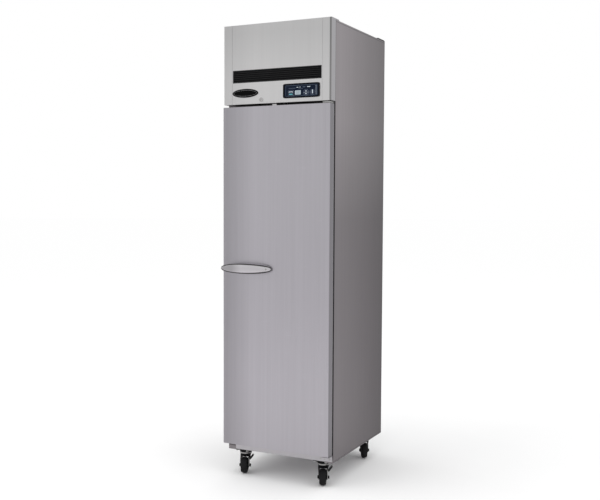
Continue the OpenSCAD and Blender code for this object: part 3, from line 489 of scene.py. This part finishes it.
def oval(w, h, n=2.0, count=96):
    """an ellipse, or for a larger n a superellipse, as points round its middle"""
    pts = []
    for i in range(count):
        a = 2 * math.pi * i / count
        c, q = math.cos(a), math.sin(a)
        x = math.copysign(w / 2 * abs(c) ** (2 / n), c)
        pts.append((x, math.copysign(h / 2 * abs(q) ** (2 / n), q)))
    return pts


def front_ring(cx, cz, y, pts):
    """an outline in a plane that faces -Y"""
    return [(cx + x, y, cz + z) for x, z in pts]


def circle(u, v, n):
    """n directions round a circle in the plane of u and v"""
    return [u * math.cos(2 * math.pi * i / n) + v * math.sin(2 * math.pi * i / n) for i in range(n)]


def add_slab(bm, lo, hi, r, seg=2):
    """a box with rounded edges, between two corners"""
    lo, hi = Vector(lo), Vector(hi)
    m = Matrix.Translation((lo + hi) / 2) @ Matrix.Diagonal((*(hi - lo), 1))
    made = bmesh.ops.create_cube(bm, size=1, matrix=m)
    verts = made["verts"]
    edges = list({e for v in verts for e in v.link_edges})
    if r:
        bmesh.ops.bevel(bm, geom=edges, offset=r, segments=seg, affect="EDGES", profile=0.5)


def pad_on_front(name, x, z, y, w, h, r, proud, edge, mat, body, crown=0.0):
    """A rounded plate facing -Y: its back lies on y, and its edge is rounded."""
    rings = []
    for k in range(5):
        a = rad(90 * k / 4)
        yy = y - (proud - edge) - edge * math.sin(a)
        inset = edge * (1 - math.cos(a))
        outer = rrect(w - 2 * inset, h - 2 * inset, max(r - inset, 1e-4))
        rings.append(front_ring(x, z, yy, outer))
    rings.insert(0, front_ring(x, z, y, rrect(w, h, r)))
    if crown:
        top = rrect(w - 2 * edge, h - 2 * edge, max(r - edge, 1e-4))
        for f in (0.7, 0.35):
            inner = [(px * f, pz * f) for px, pz in top]
            rings.append(front_ring(x, z, y - proud - crown * (1 - f * f), inner))
    return loft(name, rings, mat, body)


def disc_on_front(name, x, z, profile, mat, body, n=64):
    """A turned shape facing -Y from (radius, y) pairs."""
    rings = [front_ring(x, z, y, oval(2 * r, 2 * r, count=n)) for r, y in profile]
    return loft(name, rings, mat, body)


def lathe(name, centre, axis, profile, mat, body, n=72, loop=False, angle=30):
    """Revolves (radius, height) pairs about an axis through the centre."""
    axis = Vector(axis).normalized()
    u = axis.orthogonal().normalized()
    v = axis.cross(u)
    c = Vector(centre)
    rings = []
    for r, h in profile:
        rings.append([c + axis * h + d * r for d in circle(u, v, n)])
    return loft(name, rings, mat, body, loop=loop, angle=angle)


def sweep(bm, pts, r, n=10):
    pts = [Vector(p) for p in pts]
    rings = []
    for i, p in enumerate(pts):
        d = (pts[min(i + 1, len(pts) - 1)] - pts[max(i - 1, 0)]).normalized()
        ref = Vector((1, 0, 0)) if abs(d.z) > 0.9 else Vector((0, 0, 1))
        s = d.cross(ref).normalized()
        rings.append([p + q * r for q in circle(s, s.cross(d), n)])
    rings_to(bm, rings)


def dress(node, mat, bevel=0.0, angle=38, seg=2):
    """Gives a CAD node its material, smooth curved faces and softened edges."""
    o = NODES[node]
    o.data.materials.clear()
    o.data.materials.append(MATS[mat])
    for p in o.data.polygons:
        p.use_smooth = True
        p.material_index = 0
    weld = o.modifiers.new("weld", "WELD")
    weld.merge_threshold = 1e-5
    if bevel:
        b = o.modifiers.new("edges", "BEVEL")
        b.width = bevel
        b.segments = seg
        b.limit_method = "ANGLE"
        b.angle_limit = rad(angle)
    o.data.set_sharp_from_angle(angle=rad(angle))
    flat = o.modifiers.new("flat", "WEIGHTED_NORMAL")
    flat.keep_sharp = True
    return o


# ---------------------------------------------------------------- CAD nodes

for n in ("side_panel_left", "side_panel_right"):
    dress(n, "side_steel", 0.0006)
dress("door_skin", "door_steel", 0.0008)
dress("header_frame", "frame_steel", 0.0005)
dress("header_panel", "header_steel", 0.0005)
dress("base_pan", "base_steel", 0.0003)
# the roof deck is coated near-black as painted shade in the gap above the door
dress("roof_deck", "painted_shade_dark", 0.0003)
for n in ("back_panel", "unit_tray", "condenser_coil", "terminal_box"):
    dress(n, "galvanised", 0.0003)
for n in ("inner_liner", "door_liner", "evaporator_housing"):
    dress(n, "liner_white", 0.0006)
for n in ("foam_insulation", "door_foam"):
    dress(n, "foam")
for n in ("breaker_frame", "condenser_shroud", "condensate_drain", "hinge_bushings"):
    dress(n, "grey_plastic", 0.0004)
dress("louvre_grille", "louvre_black", 0.0003)
for n in ("rear_corner_caps", "reed_switch", "condenser_fan_motor", "evaporator_fan"):
    dress(n, "black_plastic", 0.0004)
dress("bottom_hinge", "base_steel", 0.0004)
for n in ("top_hinge", "hinge_screws", "shelf_pilasters", "shelf_clips", "caster_bolts"):
    dress(n, "zinc_plate", 0.0003)
dress("evaporator_unit", "galvanised", 0.0003)
dress("condenser_fan", "fan_blade", 0.0003)
dress("lock_keeper", "bright_steel", 0.0003)
dress("lock_barrel", "bright_steel", 0.0004)
dress("lock_lever", "bright_steel", 0.0004)
dress("interior_light", "lamp_lens", 0.003, seg=4)
dress("compressor", "black_enamel", 0.0004)
dress("compressor_mounts", "grommet_rubber", 0.0005)
dress("refrigerant_lines", "copper", 0, angle=50)
dress("controller_case", "navy_panel", 0.0005)
dress("badge_plate", "gloss_black", 0.0004)
dress("caster_plates", "cast_black", 0.0008)
dress("door_handle", "bright_steel", 0.0008)
dress("door_gasket", "gasket_rubber", 0.002)
dress("wire_shelves", "shelf_coat")
for n in ("key_mode", "key_up", "key_down", "key_power"):
    dress(n, "key_dark", 0.0006)
for n in NODES:
    if n.startswith("fork_"):
        dress(n, "cast_black", 0.0006)
    if n.startswith("wheel_"):
        dress(n, "tyre_rubber", 0.001)
    if n.startswith("brake_"):
        dress(n, "black_plastic", 0.0008)

# ---------------------------------------------------------------- places

HINGE = {j["name"]: j for j in frame["joints"]}
door_lo, door_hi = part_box("door_skin")
head_lo, head_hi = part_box("header_panel")
DOOR_Y = door_lo.y
HEAD_Y = head_lo.y

# ---------------------------------------------------------------- door handle

h_lo, h_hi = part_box("door_handle")
H_LEN = h_hi.x - h_lo.x
H_OUT = DOOR_Y - h_lo.y
PLATE = 8 * MM
H_Z = (h_lo.z + h_hi.z) / 2
H_H = (h_hi.z - h_lo.z) / 2


def handle_rise(q):
    """how far the pull stands off the door, from 0 at its foot to 1"""
    return 1 - (1 - min(1.0, q * 1.55)) ** 2.4


def handle_at(q):
    """x, front y, back y and half height of the pull at the share q from its foot to its tip"""
    x = h_hi.x - H_LEN * q
    front = DOOR_Y - (PLATE + (H_OUT - PLATE) * handle_rise(q))
    back = DOOR_Y - (H_OUT - PLATE) * handle_rise(max(0.0, q - 0.13))
    return x, front, back, H_H * curve_of(2.3, 0.5, q - 0.5)


rings = []
STEPS = 56
ROUND = 28
for k in range(STEPS + 1):
    q = 0.5 - 0.5 * math.cos(math.pi * k / STEPS)
    x, yf, yb, hh = handle_at(q)
    hh = max(hh, 0.0012)
    yb = max(yb, yf + 0.004) if q > 0.02 else yb
    mid, half = (yf + yb) / 2, (yb - yf) / 2
    ring = []
    for i in range(ROUND):
        a = 2 * math.pi * i / ROUND
        c, d = math.cos(a), math.sin(a)
        z = math.copysign(abs(c) ** 0.72, c) * hh
        y = math.copysign(abs(d) ** 0.62, d) * half
        ring.append((x, mid + y, H_Z + z))
    rings.append(ring)
pull = loft("pull_plate", rings, "pull_steel", "door", angle=60)
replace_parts(pull, "door_handle")

# painted shade: a dark tube round the pull's front edge stands for the shade along its outline
bm = bmesh.new()
edge = []
OUTLINE_STEPS = 80
OUTLINE_R = 2.4 * MM
for k in range(OUTLINE_STEPS + 1):
    q = 0.5 - 0.5 * math.cos(math.pi * k / OUTLINE_STEPS)
    x, yf, yb, hh = handle_at(q)
    edge.append(Vector((x, yf + 0.0026, H_Z + hh)))
edge += [Vector((p.x, p.y, 2 * H_Z - p.z)) for p in edge[-2:0:-1]]
rows = []
for i, p in enumerate(edge):
    d = (edge[(i + 1) % len(edge)] - edge[i - 1]).normalized()
    u = Vector((0, -1, 0))
    v = d.cross(u).normalized()
    rows.append([p + q * OUTLINE_R for q in circle(v.cross(d), v, 10)])
rings_to(bm, rows, cap=False, loop=True)
shade_outline = piece("pull_shade_outline", bm, "painted_shade_dark", "door")

POST = [(0.0115, 0), (0.0112, 0.002), (0.0085, 0.004), (0.0078, 0.02), (0.0088, 0.034)]
post = lathe("pull_post", (h_lo.x + H_LEN / 2, DOOR_Y, H_Z), (0, -1, 0), POST, "pull_steel", "door", n=40)


def cross_screw(name, x, y, z, r, mat, body, proud=0.0016):
    """a low domed screw head facing -Y, with a cross recess"""
    n = 40
    bm = bmesh.new()
    rings = []
    for f, d in ((1.0, 0.0), (1.0, 0.35), (0.92, 0.72), (0.72, 0.95), (0.45, 1.0)):
        rings.append(front_ring(x, z, y - proud * d, oval(2 * r * f, 2 * r * f, count=n)))
    arm = []
    for i in range(n):
        a = 2 * math.pi * i / n
        lobe = 0.42 if (i % 10) in (9, 0, 1) else 0.16
        arm.append((x + r * lobe * math.cos(a), y - proud * 0.98, z + r * lobe * math.sin(a)))
    rings.append(arm)
    rings.append([(px, y - proud * 0.35, pz) for px, _, pz in arm])
    rings_to(bm, rings)
    o = piece(name, bm, mat, body, angle=30)
    return o


sx, sy, _, _ = handle_at(0.09)
cross_screw("pull_screw", sx, sy + 0.0002, H_Z, 0.0045, "zinc_plate", "door")

# ---------------------------------------------------------------- badge

b_lo, b_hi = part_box("badge_plate")
bx, bz = (b_lo.x + b_hi.x) / 2, (b_lo.z + b_hi.z) / 2
bw, bh = b_hi.x - b_lo.x, b_hi.z - b_lo.z
by, bt = b_hi.y, b_hi.y - b_lo.y


def badge_rings(steps):
    """rings from (inset from the badge's edge, share of its thickness) pairs"""
    return [front_ring(bx, bz, by - bt * share, oval(bw - 2 * inset, bh - 2 * inset))
            for inset, share in steps]


TRIM = [(0.0066, 0.5), (0.0066, 0.90), (0.0067, 0.93), (0.0072, 0.93), (0.0073, 0.90), (0.0073, 0.5)]
FIELD = [(0, 0), (0, 0.72), (0.0003, 0.79), (0.0009, 0.82), (0.007, 0.84), (0.012, 0.86), (0.017, 0.88)]
badge_edge = loft("badge_ring", badge_rings(TRIM), "badge_trim", "header_flap", loop=True)
field = loft("badge_field", badge_rings(FIELD), "badge_black", "header_flap")
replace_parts(field, "badge_plate")

# ---------------------------------------------------------------- controller face

c_lo, c_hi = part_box("controller_case")
cx, cz = (c_lo.x + c_hi.x) / 2, (c_lo.z + c_hi.z) / 2
cw, ch = c_hi.x - c_lo.x, c_hi.z - c_lo.z
CF = HEAD_Y - 1.4 * MM


# for each ring: what is added to the width and the height, how square its corners are, how proud it is
BEZEL = [(0.0006, 0.0006, 14, 0.0001), (0.0006, 0.0006, 14, 0.0018), (-0.0006, -0.0006, 14, 0.0028),
         (-0.003, -0.003, 14, 0.0032), (-0.0125, -0.0095, 22, 0.0032), (-0.0142, -0.0122, 26, 0.0025),
         (-0.0146, -0.0126, 26, 0.0013)]
rings = [front_ring(cx, cz, HEAD_Y - proud, oval(cw + dw, ch + dh, n)) for dw, dh, n, proud in BEZEL]
bezel = loft("controller_bezel", rings, "gloss_black", "header_flap", loop=True)


def print_rows(name, bars, mat, body="header_flap", y=None, lift=0.00022):
    """flat printed bars: each is x, z, width, height and corner radius, from the controller's middle in mm"""
    y = CF if y is None else y
    bm = bmesh.new()
    for x, z, w, h, r in bars:
        base = rrect(w * MM, h * MM, r * MM, 4)
        top = rrect((w - 0.16) * MM, (h - 0.16) * MM, max(r - 0.08, 0.02) * MM, 4)
        mx, mz = cx + x * MM, cz + z * MM
        rings_to(bm, [front_ring(mx, mz, y + 0.0001, base), front_ring(mx, mz, y - lift * 0.6, base),
                      front_ring(mx, mz, y - lift, top)])
    o = piece(name, bm, mat, body)
    return o


def outline(name, x, z, w, h, r, line, mat, slot_name, y=None):
    y = CF if y is None else y
    mx, mz = cx + x * MM, cz + z * MM
    rings = []
    for inset, dy in ((0, 0), (0, 0.00022), (line, 0.00022), (line, 0)):
        pts = rrect((w - 2 * inset) * MM, (h - 2 * inset) * MM, max(r - inset, 0.1) * MM, 6)
        rings.append(front_ring(mx, mz, y + 0.0001 - dy * 1.4, pts))
    o = loft(name, rings, mat, "header_flap", loop=True)
    return o


# places on the controller's face, in mm from its middle
MODE = (-51.5, -9.7)
DISPLAY = (-16.5, -9)
ARROWS = (24, -10)
POWER = (54.5, -10)
GLASS_PROUD = 0.9

outline("face_frame", 0, 0, 156, 47, 3, 0.9, "key_line", "key")
outline("mode_frame", *MODE, 28.5, 25.5, 3.5, 0.8, "key_line", "key")
outline("arrows_frame", *ARROWS, 29, 29, 14.4, 0.9, "key_line", "key")
outline("power_frame", *POWER, 25.6, 25.6, 12.7, 0.7, "key_line", "key")

glass = pad_on_front("display_window", cx + DISPLAY[0] * MM, cz + DISPLAY[1] * MM, CF, 29 * MM, 19 * MM,
                     2 * MM, GLASS_PROUD * MM, 0.5 * MM, "display_glass", "header_flap")
# an unlit display: every one of the seven segments of each of its two figures
LONG, THIN = 4.2, 1.1
SEGMENTS = [(0, z, LONG, THIN) for z in (5.4, 0, -5.4)]
SEGMENTS += [(x, z, THIN, LONG) for x in (-2.9, 2.9) for z in (2.7, -2.7)]
bars = [(DISPLAY[0] + shift + x, DISPLAY[1] + z, w, h, 0.4) for shift in (-5, 4.5) for x, z, w, h in SEGMENTS]
print_rows("display_segments", bars, "display_mark", y=CF - GLASS_PROUD * MM)

KEY_BACK = CF + 1.5 * MM
mode = pad_on_front("mode_key", cx + MODE[0] * MM, cz + MODE[1] * MM, KEY_BACK, 25 * MM, 22 * MM,
                    3 * MM, 2.3 * MM, 0.6 * MM, "key_dark", "key_mode", crown=0.25 * MM)
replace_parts(mode, "key_mode")
KEY_Y = CF - 0.95 * MM
print_rows("mode_print", [(-51.5, -4.5, 15, 2.6, 0.6), (-60, -5.8, 2, 5, 0.4), (-43, -5.8, 2, 5, 0.4)],
           "white_print", "key_mode", y=KEY_Y)
print_rows("mode_print_low", [(-51.5, -15.3, 18, 3.6, 0.8)], "teal_print", "key_mode", y=KEY_Y)


def half_round(name, body, side):
    """one of the two half-round arrow keys: its outline is a half circle with softened corners"""
    r0 = 13 * MM
    steps = 28
    mx, mz = cx + ARROWS[0] * MM, cz + ARROWS[1] * MM

    def ring_at(y, inset):
        r = r0 - inset
        a0 = math.asin((0.7 * MM + inset) / r)
        turns = [a0 + (math.pi - 2 * a0) * k / steps for k in range(steps + 1)]
        return front_ring(mx, mz, y, [(r * math.cos(a), side * r * math.sin(a)) for a in turns])

    rings = [ring_at(KEY_BACK, 0)]
    for proud, inset in ((0.3, 0), (0.62, 0.25), (0.8, 0.8), (0.95, 3)):
        rings.append(ring_at(CF - proud * MM, inset * MM))
    o = loft(name, rings, "key_dark", body, angle=50)
    bm = bmesh.new()
    tip, base = side * 9.2 * MM, side * 4.2 * MM
    tri = [(-4.6 * MM, base), (4.6 * MM, base), (0, tip)]
    rings_to(bm, [front_ring(mx, mz, KEY_Y + 0.0001, tri), front_ring(mx, mz, KEY_Y - 0.0002, tri)])
    t = piece(name + "_print", bm, "white_print", body)
    return o


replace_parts(half_round("up_key", "key_up", 1), "key_up")
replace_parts(half_round("down_key", "key_down", -1), "key_down")
print_rows("arrows_line", [(*ARROWS, 25, 1.0, 0.2)], "white_print")

DOME = [(0.0115, -0.0003), (0.0112, -0.0006), (0.0104, -0.0008), (0.006, -0.00092), (0.002, -0.00095)]
power = disc_on_front("power_key", cx + POWER[0] * MM, cz + POWER[1] * MM,
                      [(0.0115, KEY_BACK)] + [(r, CF + dy) for r, dy in DOME], "key_dark", "key_power")
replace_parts(power, "key_power")
print_rows("power_print", [(56, -8, 4.4, 17, 1.2)], "white_print", "key_power", y=KEY_Y)
print_rows("power_print_side", [(47.8, -10, 1.6, 9, 0.5)], "key_line", "key_power", y=KEY_Y)

LAMPS = [(-19, 14, 9, 2.4, 0.6), (-6, 14.4, 4, 3.2, 0.9), (37, 15, 15, 3, 0.8)]
DIM_LAMPS = [(14, 14.6, 13, 2.4, 0.6), (-46, 11, 34, 1.4, 0.4), (-2, 8.6, 20, 1.2, 0.4)]
MARKS = [(73.0, 18 - 3.4 * k, 6.0 - (k % 2) * 1.6, 1.7, 0.5) for k in range(12)]
print_rows("lamp_row", LAMPS, "white_print")
print_rows("lamp_row_dim", DIM_LAMPS, "key_line")
print_rows("sensor_column", MARKS, "mark_grey")

# ---------------------------------------------------------------- gasket

g_lo, g_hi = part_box("door_gasket")
GX, GZ0, GZ1, GY = g_hi.x, g_lo.z, g_hi.z, g_lo.y
GD = g_hi.y - g_lo.y
SEAL_W = 18.0
# half of the seal's section: mm from its edge, and share of its depth; the other half mirrors it
HALF = [(0, 0), (0, 0.14), (1.6, 0.24), (2.2, 0.34), (0.7, 0.50), (0.5, 0.60), (2.0, 0.72), (1.2, 0.86),
        (1.6, 0.96), (2.6, 1.0)]
SECTION = HALF + [(SEAL_W - u, v) for u, v in HALF[::-1]]
rings = []
for qx, qz in ((1, 1), (-1, 1), (-1, 0), (1, 0)):
    ring = []
    for u, v in SECTION:
        z = (GZ1 - u * MM) if qz else (GZ0 + u * MM)
        ring.append((qx * (GX - u * MM), GY + GD * v, z))
    rings.append(ring)
seal = loft("gasket_seal", rings, "gasket_rubber", "door", loop=True, angle=25)
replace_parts(seal, "door_gasket")

# ---------------------------------------------------------------- shelves

w_lo, w_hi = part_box("wire_shelves")
FRAME_R = 3 * MM
WIRE_R = 2 * MM
WIRES = 19
CORNER = 14 * MM
LEVELS = [UNDER + v for v in (0.3971, 0.7571, 1.1171)]
UP = Vector((0, 0, 1))
for k, z in enumerate(LEVELS):
    bm = bmesh.new()
    x = w_hi.x - FRAME_R
    y0, y1 = w_lo.y + FRAME_R, w_hi.y - FRAME_R
    path = []
    for ax, ay, a0 in ((1, 1, 0), (-1, 1, 90), (-1, -1, 180), (1, -1, 270)):
        ox = ax * (x - CORNER)
        oy = (y1 - CORNER) if ay > 0 else (y0 + CORNER)
        for i in range(7):
            a = rad(a0 + 15 * i)
            path.append(Vector((ox + CORNER * math.cos(a), oy + CORNER * math.sin(a), z)))
    rows = []
    for i, p in enumerate(path):
        d = (path[(i + 1) % len(path)] - path[i - 1]).normalized()
        rows.append([p + q * FRAME_R for q in circle(d.cross(UP).normalized(), UP, 12)])
    rings_to(bm, rows, cap=False, loop=True)
    span = y1 - y0
    for f in (1 / 3, 2 / 3):
        sweep(bm, [(-x, y0 + span * f, z), (x, y0 + span * f, z)], FRAME_R, 12)
    low, high = z + 2.6 * MM, z + 4 * MM
    for i in range(WIRES):
        wx = (i - (WIRES - 1) / 2) * 2 * (x - 10 * MM) / (WIRES - 1)
        sweep(bm, [(wx, y0 - 1 * MM, low), (wx, y0 + 4 * MM, high), (wx, y1 - 4 * MM, high),
                   (wx, y1 + 1 * MM, low)], WIRE_R, 10)
    o = piece("shelf_%d" % (k + 1), bm, "shelf_coat", "cabinet", angle=60)
    if k == 0:
        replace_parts(o, "wire_shelves")

# ---------------------------------------------------------------- coil fins

k_lo, k_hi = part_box("condenser_coil")
bm = bmesh.new()
FINS = 76
FIN_HALF = 0.12 * MM
x0, x1 = k_lo.x + 0.0195, k_hi.x - 0.0225
for i in range(FINS):
    x = x0 + (x1 - x0) * i / (FINS - 1)
    corner = (x - FIN_HALF, k_lo.y + 0.0034, k_lo.z + 0.001)
    add_slab(bm, corner, (x + FIN_HALF, k_hi.y + 0.0004, k_hi.z - 0.001), 0)
fin_pack = piece("condenser_fins", bm, "fin_metal", "cabinet", angle=20)

# ---------------------------------------------------------------- casters

# profiles of the turned pieces of a caster: radius, and height above the floor or place along the axle
BAND = [(0.0268, 0.0893), (0.0280, 0.0896), (0.0286, 0.0903), (0.0286, 0.0950), (0.0280, 0.0957),
        (0.0268, 0.0960)]
RACE = [(0.0275, 0.0981), (0.0296, 0.0984), (0.0303, 0.1), (0.0303, 0.1055), (0.0325, 0.1075),
        (0.0325, 0.1109), (0.0275, 0.1109)]
HUB_HALF = [(0.00405, 0.016), (0.0115, 0.016), (0.0128, 0.0152), (0.0130, 0.0112), (0.0150, 0.0098),
            (0.0205, 0.0098), (0.0228, 0.0112), (0.0238, 0.0138), (0.0258, 0.0138)]
HUB = [(r, -h) for r, h in HUB_HALF] + HUB_HALF[::-1]
TYRE_R = 38 * MM
TREAD = 7.5 * MM
TYRE_HALF = 15 * MM
TYRE = [(0.0262, -0.0146)]
for a in range(-90, 91, 10):
    crown = max(0.0, math.cos(rad(a))) ** 0.8
    TYRE.append((TYRE_R - TREAD + TREAD * crown, TYRE_HALF * math.sin(rad(a))))
TYRE += [(0.0262, 0.0146), (0.0255, 0.0120), (0.0255, -0.0120)]
PEDAL_AT = (0.0213, -0.010, 0.031)

for end in ("front", "rear"):
    for hand in ("left", "right"):
        fork = "fork_%s_%s" % (end, hand)
        wheel = "wheel_%s_%s" % (end, hand)
        at = Vector(HINGE["swivel_%s_%s" % (end, hand)]["pos_m"])
        roll = HINGE["roll_%s_%s" % (end, hand)]
        hub = Vector(roll["pos_m"])
        axle = Vector(roll["axis"])
        band = lathe("band_%s_%s" % (end, hand), (at.x, at.y, 0), UP, BAND, "zinc_plate", fork, loop=True)
        race = lathe("race_%s_%s" % (end, hand), (at.x, at.y, 0), UP, RACE, "cast_black", "cabinet",
                     loop=True)
        t = lathe("tyre_%s_%s" % (end, hand), hub, axle, TYRE, "tyre_rubber", wheel, loop=True)
        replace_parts(t, wheel)
        c = lathe("hub_%s_%s" % (end, hand), hub, axle, HUB, "black_plastic", wheel, loop=True, angle=40)
        if end == "front":
            body = "brake_front_" + hand
            yaw = Matrix.Rotation(math.atan2(axle.y, axle.x), 4, "Z")
            lean = Matrix.Rotation(rad(38), 4, "Y")
            m = Matrix.Translation(hub) @ yaw @ Matrix.Translation(PEDAL_AT) @ lean
            bm = bmesh.new()
            add_slab(bm, (-0.0008, -0.0012, 0.0015), (0.0072, 0.0212, 0.0290), 0.0022, 3)
            for j in range(4):
                z = 0.006 + j * 0.0055
                add_slab(bm, (0.0068, 0.003, z), (0.0082, 0.017, z + 0.0025), 0.0006, 2)
            bmesh.ops.transform(bm, matrix=m, verts=bm.verts[:])
            pedal = piece("pedal_" + hand, bm, "black_plastic", body)
            dress(body, "zinc_plate", 0.0006)

# ---------------------------------------------------------------- painted shadow lines at the hems of the side panels

for sgn, hand in ((1, "right"), (-1, "left")):
    lo_p, hi_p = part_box("side_panel_" + hand)
    xs = (hi_p.x if sgn > 0 else lo_p.x)
    bm = bmesh.new()
    for z0 in (lo_p.z + 0.0065, hi_p.z - 0.0085):
        a, b = sorted((xs - sgn * 0.0002, xs + sgn * 0.00035))
        add_slab(bm, (a, lo_p.y + 0.004, z0), (b, hi_p.y - 0.004, z0 + 0.0016), 0.0002, 1)
    hem_shade = piece("hem_" + hand, bm, "hem_shadow", "cabinet")

# ---------------------------------------------------------------- floor

bm = bmesh.new()
bmesh.ops.create_grid(bm, x_segments=2, y_segments=2, size=60)
me = bpy.data.meshes.new("floor")
bm.to_mesh(me)
bm.free()
me.materials.append(MATS["studio_floor"])
floor = bpy.data.objects.new("floor", me)
floor.location.z = CAD_LO[2] - 0.0005
scene.collection.objects.link(floor)
